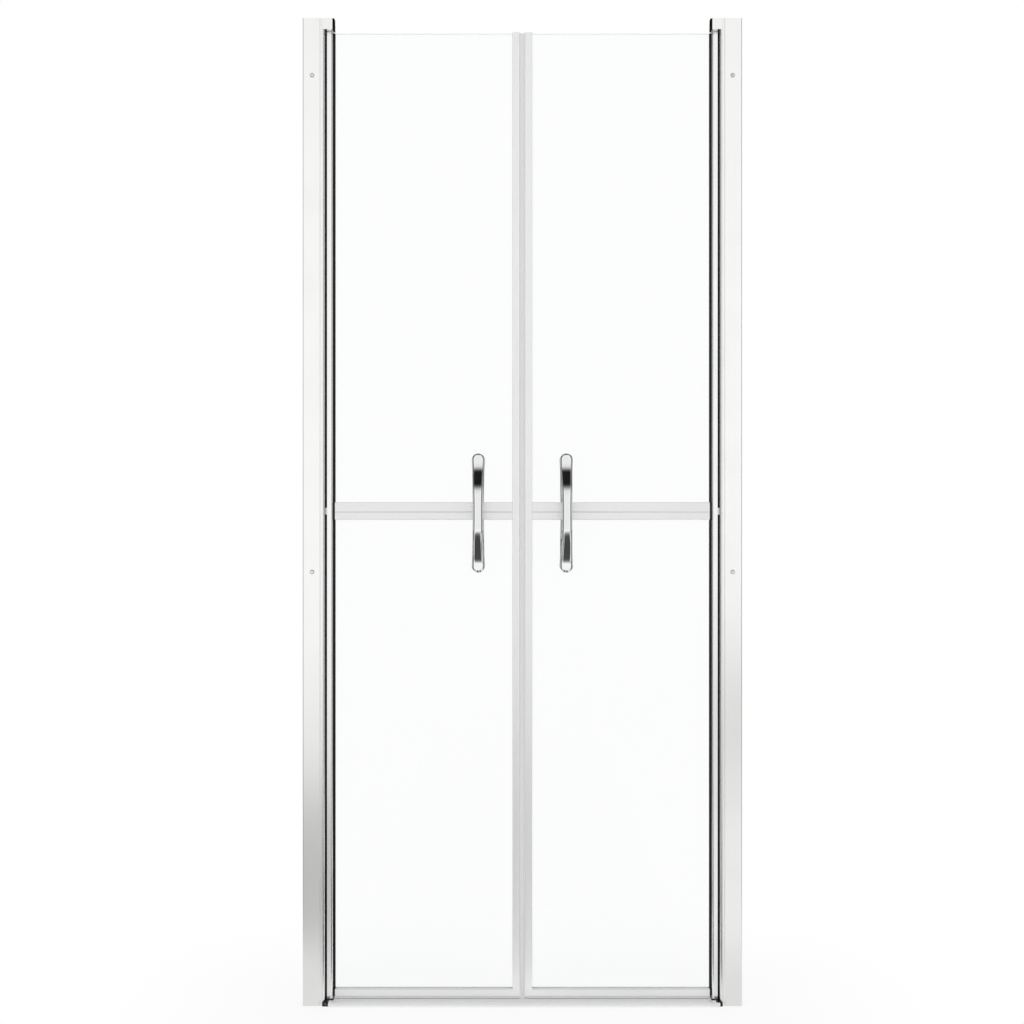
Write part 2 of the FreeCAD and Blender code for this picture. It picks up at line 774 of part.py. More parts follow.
def threshold():
    """Low hollow strip on the tray, bevelled to the front and back, notched round the feet."""
    half = size.threshold_depth / 2
    top_half = half - size.threshold_bevel
    low = size.tape_height
    outer = [
        (-half, low),
        (half, low),
        (half, size.threshold_shoulder),
        (top_half, size.threshold_height),
        (-top_half, size.threshold_height),
        (-half, size.threshold_shoulder),
    ]
    ceiling = size.threshold_height - size.threshold_gauge
    floor = low + size.threshold_gauge
    rib_half = size.threshold_rib / 2
    chamber_half = top_half - size.threshold_gauge
    front_chamber = [(-chamber_half, floor), (-rib_half, floor), (-rib_half, ceiling), (-chamber_half, ceiling)]
    back_chamber = [(-y, z) for y, z in front_chamber]
    start = size.threshold_clearance - foot_off
    end = wall_off - size.threshold_right_inset
    crests = [(-top_half, size.threshold_height), (top_half, size.threshold_height)]
    body = lengthwise(
        "threshold", [outer, front_chamber, back_chamber], start, end - start, crests, size.threshold_round
    )
    head_half = size.foot_depth / 2 + size.threshold_clearance
    tail_half = size.foot_tail_depth / 2 + size.threshold_clearance
    head_off = foot_off - size.threshold_clearance
    tail_off = axis_off - size.foot_tail_reach - size.threshold_clearance
    notch_height = size.threshold_height + size.overrun * 2
    notches = [
        block("threshold_notch", side, notch_off, nose_off, notch_half, -size.overrun, notch_height)
        for side, notch_off, notch_half in (
            (LEFT, tail_off, tail_half), (RIGHT, tail_off, tail_half), (RIGHT, head_off, head_half),
        )
    ]
    keep("threshold", cut("threshold", body, *notches))


def threshold_tape():
    """Two strips of sealing tape that hold the threshold on the tray."""
    reach = axis_off - size.foot_tail_reach - size.threshold_clearance * 2
    strips = []
    for face in (OUTER, INNER):
        centre = (size.threshold_depth / 2 - size.tape_width) * face
        strip = doc.addObject("Part::Box", "tape_strip")
        bind(strip, "Length", reach * 2)
        bind(strip, "Width", size.tape_width)
        bind(strip, "Height", size.tape_height)
        place(strip, -reach, centre - size.tape_width / 2, ZERO)
        strips.append(strip)
    keep("threshold_tape", group("threshold_tape", strips))


def hinge_stile(side):
    """Upright that turns beside the groove: flat in front, round at its back, slotted for the glass."""
    name = f"hinge_stile_{SIDE_NAMES[side]}"
    points = mirrored(side, [
        (stile_wall_off, -stile_half),
        (stile_glass_off, -stile_half),
        (stile_glass_off, -gasket_half),
        (stile_slot_off, -gasket_half),
        (stile_slot_off, gasket_half),
        (stile_glass_off, gasket_half),
        (stile_glass_off, stile_half),
        (stile_wall_off, stile_half),
    ])
    body, sketch = new_body(name, "XY_Plane")
    crown = (at(side, axis_off + back_radius), ZERO)
    add_loop(sketch, points, {len(points) - 1: (back_radius, crown)})
    add_circle(sketch, at(side, axis_off), ZERO, size.plug_radius)
    feature = pad(body, sketch, leaf_height)
    rounded = round_corners(body, feature, [points[1], points[6]], size.stile_round)
    round_corners(body, rounded, [points[0], points[7]], size.stile_back_round)
    place(body, z=size.leaf_bottom)
    keep(name, body)


def stile_plugs(side):
    """Plugs in the hinge stile's ends that hold the pins, and the meeting stile's top cap."""
    name = f"stile_plugs_{SIDE_NAMES[side]}"
    x = at(side, axis_off)
    thrust_face = foot_seat + size.bush_flange_height + size.thrust_gap
    thrust_height = size.leaf_bottom - thrust_face
    plugs = []
    for low in (size.leaf_bottom, leaf_top - size.plug_length):
        plugs.append(rod(f"{name}_plug", "z", size.plug_radius, size.plug_length, x, ZERO, low))
    thrust_length = thrust_height + size.plug_length
    thrust = rod(f"{name}_thrust", "z", size.plug_radius, thrust_length, x, ZERO, thrust_face)
    plugs[0] = fuse(name, plugs[0], thrust)
    for index, low in enumerate((thrust_face, leaf_top - size.plug_length)):
        length = thrust_length + size.overrun * 2
        start = low - size.overrun
        hole = rod(f"{name}_hole", "z", size.pin_radius, length, x, ZERO, start)
        plugs[index] = cut(name, plugs[index], hole)
    inset = size.meeting_round
    cap = block(
        f"{name}_cap", side, size.seam_half + inset, meeting_off - inset,
        meeting_half - inset, leaf_top, size.cap_height,
    )
    keep(name, group(name, plugs + [cap]))


def pivot_pins(side):
    """Steel pins at the leaf's top and bottom, on one upright axis."""
    name = f"pivot_pins_{SIDE_NAMES[side]}"
    x = at(side, axis_off)
    lower_low = size.foot_floor + size.pin_end_gap
    lower_height = size.leaf_bottom + size.plug_length - lower_low
    upper_low = leaf_top - size.plug_length
    upper_height = block_low + size.bush_length - size.pin_end_gap - upper_low
    pins = [
        rod(f"{name}_lower", "z", size.pin_radius, lower_height, x, ZERO, lower_low),
        rod(f"{name}_upper", "z", size.pin_radius, upper_height, x, ZERO, upper_low),
    ]
    keep(name, group(name, pins))


def mid_guide(side):
    """Guide clipped to the stile's back at mid height, which keeps the tall stile off the nose."""
    name = f"mid_guide_{SIDE_NAMES[side]}"
    x = at(side, axis_off)
    radius = nose_off - axis_off - size.guide_clearance
    disc = rod(f"{name}_disc", "z", radius, size.guide_height, x, ZERO, guide_low)
    bore = rod(f"{name}_bore", "z", back_radius, size.guide_height, x, ZERO, guide_low)
    ring = cut(f"{name}_ring", disc, bore)
    window = block(
        f"{name}_window", side, stile_wall_off, nose_off, size.guide_depth / 2, guide_low, size.guide_height
    )
    common = doc.addObject("Part::Common", f"{name}_common")
    common.Base = ring
    common.Tool = window
    keep(name, common)


def hinge_gasket(side):
    """Black glazing channel along the hinge edge of both panes."""
    name = f"hinge_gasket_{SIDE_NAMES[side]}"
    outline = mirrored(side, [
        (stile_slot_off, -gasket_half),
        (gasket_off, -gasket_half),
        (gasket_off, -glass_half),
        (pane_wall_off, -glass_half),
        (pane_wall_off, glass_half),
        (gasket_off, glass_half),
        (gasket_off, gasket_half),
        (stile_slot_off, gasket_half),
    ])
    lengths = [
        upright(f"{name}_upper", [outline], mid_joint_high, leaf_top - mid_joint_high),
        upright(f"{name}_lower", [outline], bottom_rail_high, mid_joint_low - bottom_rail_high),
    ]
    keep(name, group(name, lengths))


def pane(side, level, low, high, hole_height):
    """One pane of clear glass, drilled for one end of the handles."""
    name = f"{level}_pane_{SIDE_NAMES[side]}"
    body, sketch = new_body(name, "XZ_Plane")
    seam_x = at(side, pane_seam_off)
    wall_x = at(side, pane_wall_off)
    add_loop(sketch, [(seam_x, low), (wall_x, low), (wall_x, high), (seam_x, high)])
    add_circle(sketch, at(side, size.handle_off), hole_height, size.pane_hole_radius)
    pad(body, sketch, size.glass_thickness, midplane=True)
    place(body)
    keep(name, body)


def upright_liner(side, name, low, high):
    """A clear liner in the meeting stile's slot."""
    half_outline = [
        (meeting_slot_off, -liner_half),
        (meeting_off, -liner_half),
        (meeting_off, -glass_half),
        (pane_seam_off, -glass_half),
    ]
    outline = half_outline + [(off, -y) for off, y in reversed(half_outline)]
    return upright(name, [mirrored(side, outline)], low, high - low)


def level_liner(side, name, floor, edge, mouth):
    """A clear liner in a rail's slot."""
    half_outline = [(-liner_half, floor), (-liner_half, mouth), (-glass_half, mouth), (-glass_half, edge)]
    outline = half_outline + [(-y, z) for y, z in reversed(half_outline)]
    start, length = span(side, meeting_off, gasket_off)
    return lengthwise(name, [outline], start, length)


def pane_liners(side):
    """Clear liners that bed the panes in the rails and the meeting stile."""
    name = f"pane_liners_{SIDE_NAMES[side]}"
    liners = [
        upright_liner(side, f"{name}_upper", upper_pane_low, leaf_top),
        upright_liner(side, f"{name}_lower", bottom_rail_high, lower_pane_high),
        level_liner(side, f"{name}_above", upper_pane_low - size.edge_gap, upper_pane_low, mid_rail_high),
        level_liner(side, f"{name}_below", lower_pane_high + size.edge_gap, lower_pane_high, mid_rail_low),
        level_liner(side, f"{name}_bottom", lower_pane_low - size.edge_gap, lower_pane_low, bottom_rail_high),
    ]
    keep(name, group(name, liners))


def mid_rail(side):
    """Rail between the panes, slotted above and below, with a fine line along its faces."""
    name = f"mid_rail_{SIDE_NAMES[side]}"
    line = size.mid_rail_centre - size.mid_rail_line_drop
    half_line = size.mid_rail_line_width / 2
    front = [
        (-liner_half, mid_rail_low + size.mid_rail_slot),
        (-liner_half, mid_rail_low),
        (-rail_half, mid_rail_low),
        (-rail_half, line - half_line),
        (-rail_half + size.mid_rail_line_depth, line),
        (-rail_half, line + half_line),
        (-rail_half, mid_rail_high),
        (-liner_half, mid_rail_high),
        (-liner_half, mid_rail_high - size.mid_rail_slot),
    ]
    back = [(-y, z) for y, z in reversed(front)]
    half = size.mid_rail_chamber / 2
    low, high = size.mid_rail_centre - half, size.mid_rail_centre + half
    chamber = [(-half, low), (half, low), (half, high), (-half, high)]
    start, length = span(side, meeting_off, rail_off)
    corners = [(y, z) for y in (-rail_half, rail_half) for z in (mid_rail_low, mid_rail_high)]
    keep(name, lengthwise(name, [front + back, chamber], start, length, corners, size.mid_rail_round))


def bottom_rail(side):
    """Rail under the lower pane, slotted above for the glass and below for the drip seal."""
    name = f"bottom_rail_{SIDE_NAMES[side]}"
    low = size.bottom_rail_low
    neck = low + size.drip_neck_height
    head = neck + size.drip_head_height
    front = [
        (-size.drip_head / 2, head),
        (-size.drip_head / 2, neck),
        (-size.drip_neck / 2, neck),
        (-size.drip_neck / 2, low),
        (-rail_half, low),
        (-rail_half, bottom_rail_high),
        (-liner_half, bottom_rail_high),
        (-liner_half, bottom_rail_high - size.bottom_rail_slot),
    ]
    back = [(-y, z) for y, z in reversed(front)]
    start, length = span(side, size.seam_half, rail_off)
    corners = [(y, z) for y in (-rail_half, rail_half) for z in (low, bottom_rail_high)]
    keep(name, lengthwise(name, [front + back], start, length, corners, size.mid_rail_round))


def rail_joints(side):
    """Dark connectors between the rails and the stiles, with tenons in the mid rail."""
    name = f"rail_joints_{SIDE_NAMES[side]}"
    joint_half = size.joint_depth / 2
    mid_height = mid_joint_high - mid_joint_low
    flange = block(f"{name}_mid", side, rail_off, stile_glass_off, joint_half, mid_joint_low, mid_height)
    slot_half = liner_half + size.tenon_clearance
    near, far = rail_off - size.overrun, stile_glass_off + size.overrun
    slots = [
        block(f"{name}_slot", side, near, far, slot_half, low, size.mid_rail_slot)
        for low in (mid_rail_low, mid_rail_high - size.mid_rail_slot)
    ]
    tenon_half = size.mid_rail_chamber / 2 - size.tenon_clearance
    tenon_low = size.mid_rail_centre - tenon_half
    tenon_off = rail_off - size.tenon_length
    tenon = block(f"{name}_tenon", side, tenon_off, rail_off, tenon_half, tenon_low, tenon_half * 2)
    plug_end_off = meeting_off + size.tenon_length
    plug = block(f"{name}_plug", side, meeting_off, plug_end_off, tenon_half, tenon_low, tenon_half * 2)
    start, length = span(side, meeting_off - size.overrun, plug_end_off)
    pilot = rod(f"{name}_pilot", "x", size.rail_screw_radius, length, start, ZERO, size.mid_rail_centre)
    foot = block(
        f"{name}_bottom", side, rail_off, stile_glass_off,
        joint_half, size.bottom_rail_low, size.bottom_rail_height,
    )
    foot_slot_low = bottom_rail_high - size.bottom_rail_slot
    foot_slot_height = size.bottom_rail_slot + size.overrun
    foot_slot = block(f"{name}_slot", side, near, far, slot_half, foot_slot_low, foot_slot_height)
    mid_joint = fuse(name, cut(name, flange, *slots), tenon)
    keep(name, group(name, [mid_joint, cut(name, plug, pilot), cut(name, foot, foot_slot)]))


def rail_screw(side):
    """Screw through the meeting stile into the mid rail."""
    name = f"rail_screw_{SIDE_NAMES[side]}"
    channel_off = size.seam_half + size.carrier_neck_length + size.carrier_head_length
    end_off = meeting_off + size.rail_screw_reach
    height = size.mid_rail_centre
    start, length = span(side, channel_off, end_off)
    shank = rod(f"{name}_shank", "x", size.rail_screw_radius, length, start, ZERO, height)
    start, length = span(side, channel_off, channel_off + size.rail_screw_head_height)
    head = rod(f"{name}_head", "x", size.rail_screw_head_radius, length, start, ZERO, height)
    keep(name, fuse(name, shank, head))


def drip_seal(side):
    """Soft strip under the bottom rail that hangs close above the threshold."""
    name = f"drip_seal_{SIDE_NAMES[side]}"
    low = size.bottom_rail_low
    neck = low + size.drip_neck_height
    head = neck + size.drip_head_height
    plate = low - size.drip_plate
    half_outline = [
        (-size.drip_head / 2, head),
        (-size.drip_head / 2, neck),
        (-size.drip_neck / 2, neck),
        (-size.drip_neck / 2, low),
        (-size.drip_width / 2, low),
        (-size.drip_width / 2, plate),
        (-size.drip_tip, plate),
        (-size.drip_tip / 2, size.threshold_height + size.drip_clearance),
    ]
    outline = half_outline + [(-y, z) for y, z in reversed(half_outline)]
    start, length = span(side, size.seam_half, rail_off)
    keep(name, lengthwise(name, [outline], start, length))


def meeting_stile(side):
    """Ribbed upright at the free edge, slotted for the glass and channelled for the magnetic seal."""
    name = f"meeting_stile_{SIDE_NAMES[side]}"
    neck_off = size.seam_half + size.carrier_neck_length
    channel_off = neck_off + size.carrier_head_length
    neck_half = size.carrier_neck / 2
    head_half = size.carrier_head / 2
    middle_off = size.seam_half + size.meeting_width / 2
    ribs = []
    for step in (1, 0, -1):
        rib_off = middle_off + size.rib_pitch * step
        ribs.append((rib_off + size.rib_width / 2, -meeting_half))
        ribs.append((rib_off, -meeting_half + size.rib_depth))
        ribs.append((rib_off - size.rib_width / 2, -meeting_half))
    glass_side = [(meeting_slot_off, -liner_half), (meeting_off, -liner_half), (meeting_off, -meeting_half)]
    seam_side = [
        (size.seam_half, -meeting_half),
        (size.seam_half, -neck_half),
        (neck_off, -neck_half),
        (neck_off, -head_half),
        (channel_off, -head_half),
    ]
    front = glass_side + ribs + seam_side
    back = [(off, -y) for off, y in reversed(front)]
    corners = [(off, y) for off in (size.seam_half, meeting_off) for y in (-meeting_half, meeting_half)]
    body = upright(
        name, [mirrored(side, front + back)], bottom_rail_high, leaf_top - bottom_rail_high,
        mirrored(side, corners), size.meeting_round,
    )
    start, length = span(side, channel_off - size.overrun, meeting_slot_off + size.overrun)
    hole = rod(f"{name}_hole", "x", size.rail_screw_radius, length, start, ZERO, size.mid_rail_centre)
    sink_end = channel_off + size.rail_screw_head_height
    start, length = span(side, channel_off - size.overrun, sink_end)
    sink = rod(f"{name}_sink", "x", size.rail_screw_head_radius, length, start, ZERO, size.mid_rail_centre)
    keep(name, cut(name, body, fuse(f"{name}_tool", hole, sink)))


def magnet_carrier(side):
    """Clear carrier of the magnetic seal, held in the meeting stile's channel."""
    name = f"magnet_carrier_{SIDE_NAMES[side]}"
    ease = size.carrier_clearance
    neck_off = size.seam_half + size.carrier_neck_length + ease
    head_off = size.seam_half + size.carrier_neck_length + size.carrier_head_length - ease
    face_off = size.seam_half - size.carrier_reach
    half_outline = [
        (head_off, -size.carrier_head / 2 + ease),
        (neck_off, -size.carrier_head / 2 + ease),
        (neck_off, -size.carrier_neck / 2 + ease),
        (size.seam_half, -size.carrier_neck / 2 + ease),
        (size.seam_half, -size.carrier_width / 2),
        (face_off, -size.carrier_width / 2),
    ]
    outline = half_outline + [(off, -y) for off, y in reversed(half_outline)]
    upper = upright(name, [mirrored(side, outline)], bottom_rail_high, leaf_top - bottom_rail_high)
    half_width = size.carrier_width / 2
    rail_height = size.bottom_rail_height
    lower = block(f"{name}_lower", side, face_off, size.seam_half, half_width, size.bottom_rail_low, rail_height)
    keep(name, fuse(name, upper, lower))


def magnet_strip(side):
    """Magnetic strip on the carrier's face, in two lengths."""
    name = f"magnet_strip_{SIDE_NAMES[side]}"
    face_off = size.seam_half - size.carrier_reach
    half = size.magnet_width / 2
    joint_low = size.magnet_joint_height - size.magnet_joint_gap / 2
    joint_high = size.magnet_joint_height + size.magnet_joint_gap / 2
    low = size.bottom_rail_low
    lengths = [
        block(f"{name}_lower", side, size.magnet_gap, face_off, half, low, joint_low - low),
        block(f"{name}_upper", side, size.magnet_gap, face_off, half, joint_high, leaf_top - joint_high),
    ]
    keep(name, group(name, lengths))


def handle(side, face):
    """Bow handle: its side form bent from bar, trimmed to a narrow grip between two round ends."""
    name = f"{FACE_NAMES[face]}_handle_{SIDE_NAMES[side]}"
    seat = glass_half + size.pane_bush_flange_height
    x = at(side, size.handle_off)
    body, sketch = new_body(name, "YZ_Plane")
    side_form = [((seat + out) * face, size.handle_centre + up) for out, up in handle_side_form()]
    add_loop(sketch, side_form)
    feature = pad(body, sketch, size.handle_paddle_width + size.overrun * 2, midplane=True)
    bends = [side_form[index] for index in (0, 1, 4, 5, 6, 7, 10, 11)]
    bent = round_corners(body, feature, bends, size.handle_bend_radius, "x")
    trim = new_sketch(body, name + "_trim", "XZ_Plane")
    reach = size.handle_length / 2 + size.overrun * 2
    width = size.handle_paddle_width
    low, high = size.handle_centre - reach, size.handle_centre + reach
    add_loop(trim, [(-width, low), (width, low), (width, high), (-width, high)])
    add_loop(trim, *handle_front_form())
    pocket = body.newObject("PartDesign::Pocket", body.Name + "_trimmed")
    pocket.Profile = trim
    pocket.SideType = "Symmetric"
    bind(pocket, "Length", (seat + size.handle_rise + size.overrun) * 2)
    doc.recompute()
    if pocket.Shape.Volume > bent.Shape.Volume * TRIMMED_SHARE:
        raise ValueError(f"{name} was not trimmed")
    edges = body.newObject("PartDesign::Fillet", body.Name + "_edges")
    edges.Base = (pocket, sharp_edges(pocket.Shape))
    bind(edges, "Radius", size.handle_edge_round)
    place(body, x=x)
    start = seat if face == INNER else -seat - size.stud_depth
    holes = [
        rod(f"{name}_hole", "y", size.stud_radius, size.stud_depth, x, start, height)
        for height in handle_fixings()
    ]
    keep(name, cut(name, body, *holes))


def handle_side_form():
    """The handle seen from the side: distances out from its seat and up from its middle."""
    rise, gauge = size.handle_rise, size.handle_gauge
    bend = size.handle_length / 2 - size.handle_paddle_length
    grip = bend - size.handle_slope_length
    end = size.handle_length / 2 + size.overrun
    climb = rise - gauge
    slope = root(climb * climb + size.handle_slope_length * size.handle_slope_length)
    shift = gauge * climb / (slope + size.handle_slope_length)
    upper = [(rise, grip + shift), (gauge, bend + shift), (gauge, end), (ZERO, end), (ZERO, bend), (climb, grip)]
    return upper + [(out, -up) for out, up in reversed(upper)]


def handle_front_form():
    """The handle seen from the front: two round ends, with hollow sides between that touch them."""
    radius = size.handle_paddle_width / 2
    half_grip = size.handle_grip_width / 2
    centre = size.handle_length / 2 - radius
    reach = half_grip * half_grip + centre * centre - radius * radius
    hollow = reach / ((radius - half_grip) * 2)
    touch_x = radius * (half_grip + hollow) / (radius + hollow)
    touch_z = centre * hollow / (radius + hollow)
    middle = size.handle_centre
    low, high = middle - touch_z, middle + touch_z
    points = [(touch_x, low), (touch_x, high), (-touch_x, high), (-touch_x, low)]
    end = size.handle_length / 2
    arcs = {
        0: (hollow, (half_grip, middle)),
        1: (radius, (ZERO, middle + end)),
        2: (hollow, (-half_grip, middle)),
        3: (radius, (ZERO, middle - end)),
    }
    return points, arcs


def sharp_edges(shape):
    """Names of the edges where two faces meet at a clear angle."""
    names = []
    for index, edge in enumerate(shape.Edges, 1):
        middle = edge.valueAt((edge.FirstParameter + edge.LastParameter) / 2)
        normals = []
        for face in shape.ancestorsOfType(edge, Part.Face):
            normals.append(face.normalAt(*face.Surface.parameter(middle)))
        if len(normals) == 2 and normals[0].getAngle(normals[1]) > math.radians(SHARP_DEGREES):
            names.append(f"Edge{index}")
    return names


def handle_fixings():
    """The heights of the two fixing points of each handle."""
    half = size.handle_fixing_spread / 2
    return size.handle_centre + half, size.handle_centre - half


def handle_bushes(side):
    """Clear flanged bushes in the panes' holes, one from each face."""
    name = f"handle_bushes_{SIDE_NAMES[side]}"
    x = at(side, size.handle_off)
    sleeve_radius = size.pane_hole_radius - size.pane_bush_clearance
    bore_radius = size.stud_radius + size.stud_bush_clearance
    flange = size.pane_bush_flange_height
    bushes = []
    for height in handle_fixings():
        for face in (OUTER, INNER):
            start = -glass_half if face == OUTER else ZERO
            sleeve = rod(f"{name}_sleeve", "y", sleeve_radius, glass_half, x, start, height)
            start = -glass_half - flange if face == OUTER else glass_half
            rim = rod(f"{name}_flange", "y", size.pane_bush_flange_radius, flange, x, start, height)
            start = -glass_half - flange - size.overrun
            length = (glass_half + flange + size.overrun) * 2
            bore = rod(f"{name}_bore", "y", bore_radius, length, x, start, height)
            bushes.append(cut(name, fuse(name, sleeve, rim), bore))
    keep(name, group(name, bushes))


def handle_studs(side):
    """Threaded studs that draw the outer and the inner handle together through the glass."""
    name = f"handle_studs_{SIDE_NAMES[side]}"
    reach = glass_half + size.pane_bush_flange_height + size.stud_depth
    studs = [
        rod(f"{name}_stud", "y", size.stud_radius, reach * 2, at(side, size.handle_off), -reach, height)
        for height in handle_fixings()
    ]
    keep(name, group(name, studs))


def build_side(side):
    """All the sub-parts of one side: the fixed profiles, then the leaf."""
    for maker in (
        wall_profile, adjusting_profile, clamp_screws, clamp_nuts, top_pivot_block, bottom_pivot_foot,
        block_screws, pivot_bushes, groove_seal, hinge_stile, stile_plugs, pivot_pins, mid_guide,
        hinge_gasket, pane_liners, mid_rail, bottom_rail, rail_joints, rail_screw, drip_seal,
        meeting_stile, magnet_carrier, magnet_strip, handle_bushes, handle_studs,
    ):
        maker(side)
    upper_hole, lower_hole = handle_fixings()
    pane(side, "upper", upper_pane_low, leaf_top, upper_hole)
    pane(side, "lower", lower_pane_low, lower_pane_high, lower_hole)
    for face in (OUTER, INNER):
        handle(side, face)


def check_and_write():
    """Stop on any failed object or shape, then write each sub-part to its own file."""
    doc.recompute()
    for thing in doc.Objects:
        if "Invalid" in thing.State or "Error" in thing.State:
            raise ValueError(f"{thing.Label} failed: {thing.State}")
    for name, thing in parts.items():
        if thing.Shape.isNull() or not thing.Shape.isValid() or not thing.Shape.Solids:
            raise ValueError(f"{name} has no sound shape")
    os.makedirs("parts", exist_ok=True)
    for name, thing in parts.items():
        thing.Shape.exportStep(f"parts/{name}.step")
        box = thing.Shape.BoundBox
        solids = len(thing.Shape.Solids)
        print(f"{name}: {solids} solids, {thing.Shape.Volume:.0f} mm3, "
              f"x {box.XMin:.1f} to {box.XMax:.1f}, y {box.YMin:.1f} to {box.YMax:.1f}, "
              f"z {box.ZMin:.1f} to {box.ZMax:.1f}")


threshold()
threshold_tape()
for side in (LEFT, RIGHT):
    build_side(side)
check_and_write()
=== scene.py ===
"""Double-leaf swinging shower door: its finishes, soft seals and studio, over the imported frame.

Lengths are in metres. X runs along the doorway, Y points into the shower and Z is up.
"""

import logging
import math
from dataclasses import dataclass
from enum import Enum

import bpy
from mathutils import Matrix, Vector


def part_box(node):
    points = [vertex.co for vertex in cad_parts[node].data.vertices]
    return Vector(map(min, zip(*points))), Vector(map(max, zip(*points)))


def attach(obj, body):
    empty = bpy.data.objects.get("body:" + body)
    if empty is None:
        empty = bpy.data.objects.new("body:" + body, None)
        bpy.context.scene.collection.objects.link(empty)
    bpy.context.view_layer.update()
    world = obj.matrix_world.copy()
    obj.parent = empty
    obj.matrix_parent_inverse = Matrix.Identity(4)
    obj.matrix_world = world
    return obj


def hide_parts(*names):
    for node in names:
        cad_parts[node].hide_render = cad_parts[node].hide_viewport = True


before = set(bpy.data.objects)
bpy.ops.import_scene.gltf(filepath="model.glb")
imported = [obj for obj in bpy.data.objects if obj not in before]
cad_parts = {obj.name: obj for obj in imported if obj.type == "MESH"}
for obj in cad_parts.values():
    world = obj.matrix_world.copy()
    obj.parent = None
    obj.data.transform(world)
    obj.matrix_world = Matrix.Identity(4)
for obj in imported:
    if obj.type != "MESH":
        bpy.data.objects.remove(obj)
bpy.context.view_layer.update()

MM = 0.001
NOISE_ROUGHNESS = 0.55
SMOOTH_ANGLE = math.radians(32.0)
EDGE_SHARE = 0.45
LOG = logging.getLogger("shower_door")
Node = bpy.types.Node
Socket = bpy.types.NodeSocket
Point = tuple[float, float]
Span = tuple[float, float]
Band = tuple[float, float, float, float]
Spot = tuple[float, float, float]
Colour = tuple[float, float, float]
WHITE = (1.0, 1.0, 1.0, 1.0)
BLACK = (0.0, 0.0, 0.0, 1.0)


def grey(level: float) -> Colour:
    """A colour without a tint."""
    return level, level, level


class Place(Enum):
    """A place that node names mention."""

    @property
    def label(self) -> str:
        """The place's name, as node names have it."""
        return self.name.lower()


class Side(Place):
    """One side of the doorway, with the sign of its X."""

    LEFT = -1
    RIGHT = 1


class Face(Place):
    """One face of the glass, with the sign of its Y."""

    OUTER = -1
    INNER = 1


class Grain(Enum):
    """The way a profile was drawn, as the stretch of its fine lines along X, Y and Z."""

    UPRIGHT = (1.0, 1.0, 0.012)
    LEVEL = (0.012, 1.0, 1.0)
    NONE = (1.0, 1.0, 1.0)


class Run(Enum):
    """The axis that a strip runs along: its section is in X and Y, or in Y and Z."""

    UPRIGHT = "z"
    LEVEL = "x"


@dataclass(frozen=True)
class Value:
    """A number in a shader tree. Python's operators on it add Math nodes."""

    shader: "Shader"
    socket: Socket

    def math(self, operation: str, other: "Value | float", swapped: bool = False) -> "Value":
        """Join this value with another through one Math node.

        Args:
            operation: the Math node's operation.
            other: a value or a plain number.
            swapped: True to put the other one first.

        Returns:
            The Math node's result.
        """
        pair = (other, self) if swapped else (self, other)
        made = self.shader.node("ShaderNodeMath", {"operation": operation}, dict(enumerate(pair)))
        return Value(self.shader, made.outputs[0])

    def __add__(self, other: "Value | float") -> "Value":
        """This value plus another."""
        return self.math("ADD", other)

    def __radd__(self, other: float) -> "Value":
        """A number plus this value."""
        return self.math("ADD", other, swapped=True)

    def __sub__(self, other: "Value | float") -> "Value":
        """This value less another."""
        return self.math("SUBTRACT", other)

    def __rsub__(self, other: float) -> "Value":
        """A number less this value."""
        return self.math("SUBTRACT", other, swapped=True)

    def __mul__(self, other: "Value | float") -> "Value":
        """This value times another."""
        return self.math("MULTIPLY", other)

    def __rmul__(self, other: float) -> "Value":
        """A number times this value."""
        return self.math("MULTIPLY", other, swapped=True)

    def __abs__(self) -> "Value":
        """This value without its sign."""
        return self.math("ABSOLUTE", 0.0)

    def fade(self, low: float, high: float) -> "Value":
        """Turn this value into a smooth step.

        Args:
            low: where the step starts, at 0.
            high: where it ends, at 1.

        Returns:
            The step, from 0 to 1.
        """
        made = self.shader.node(
            "ShaderNodeMapRange", {"interpolation_type": "SMOOTHSTEP"},
            {"Value": self, "From Min": low, "From Max": high},
        )
        return Value(self.shader, made.outputs[0])

    def band(self, rise: float, full: float, wane: float, end: float) -> "Value":
        """A smooth band that starts at rise, is full up to wane, and ends."""
        return self.fade(rise, full) * (1.0 - self.fade(wane, end))


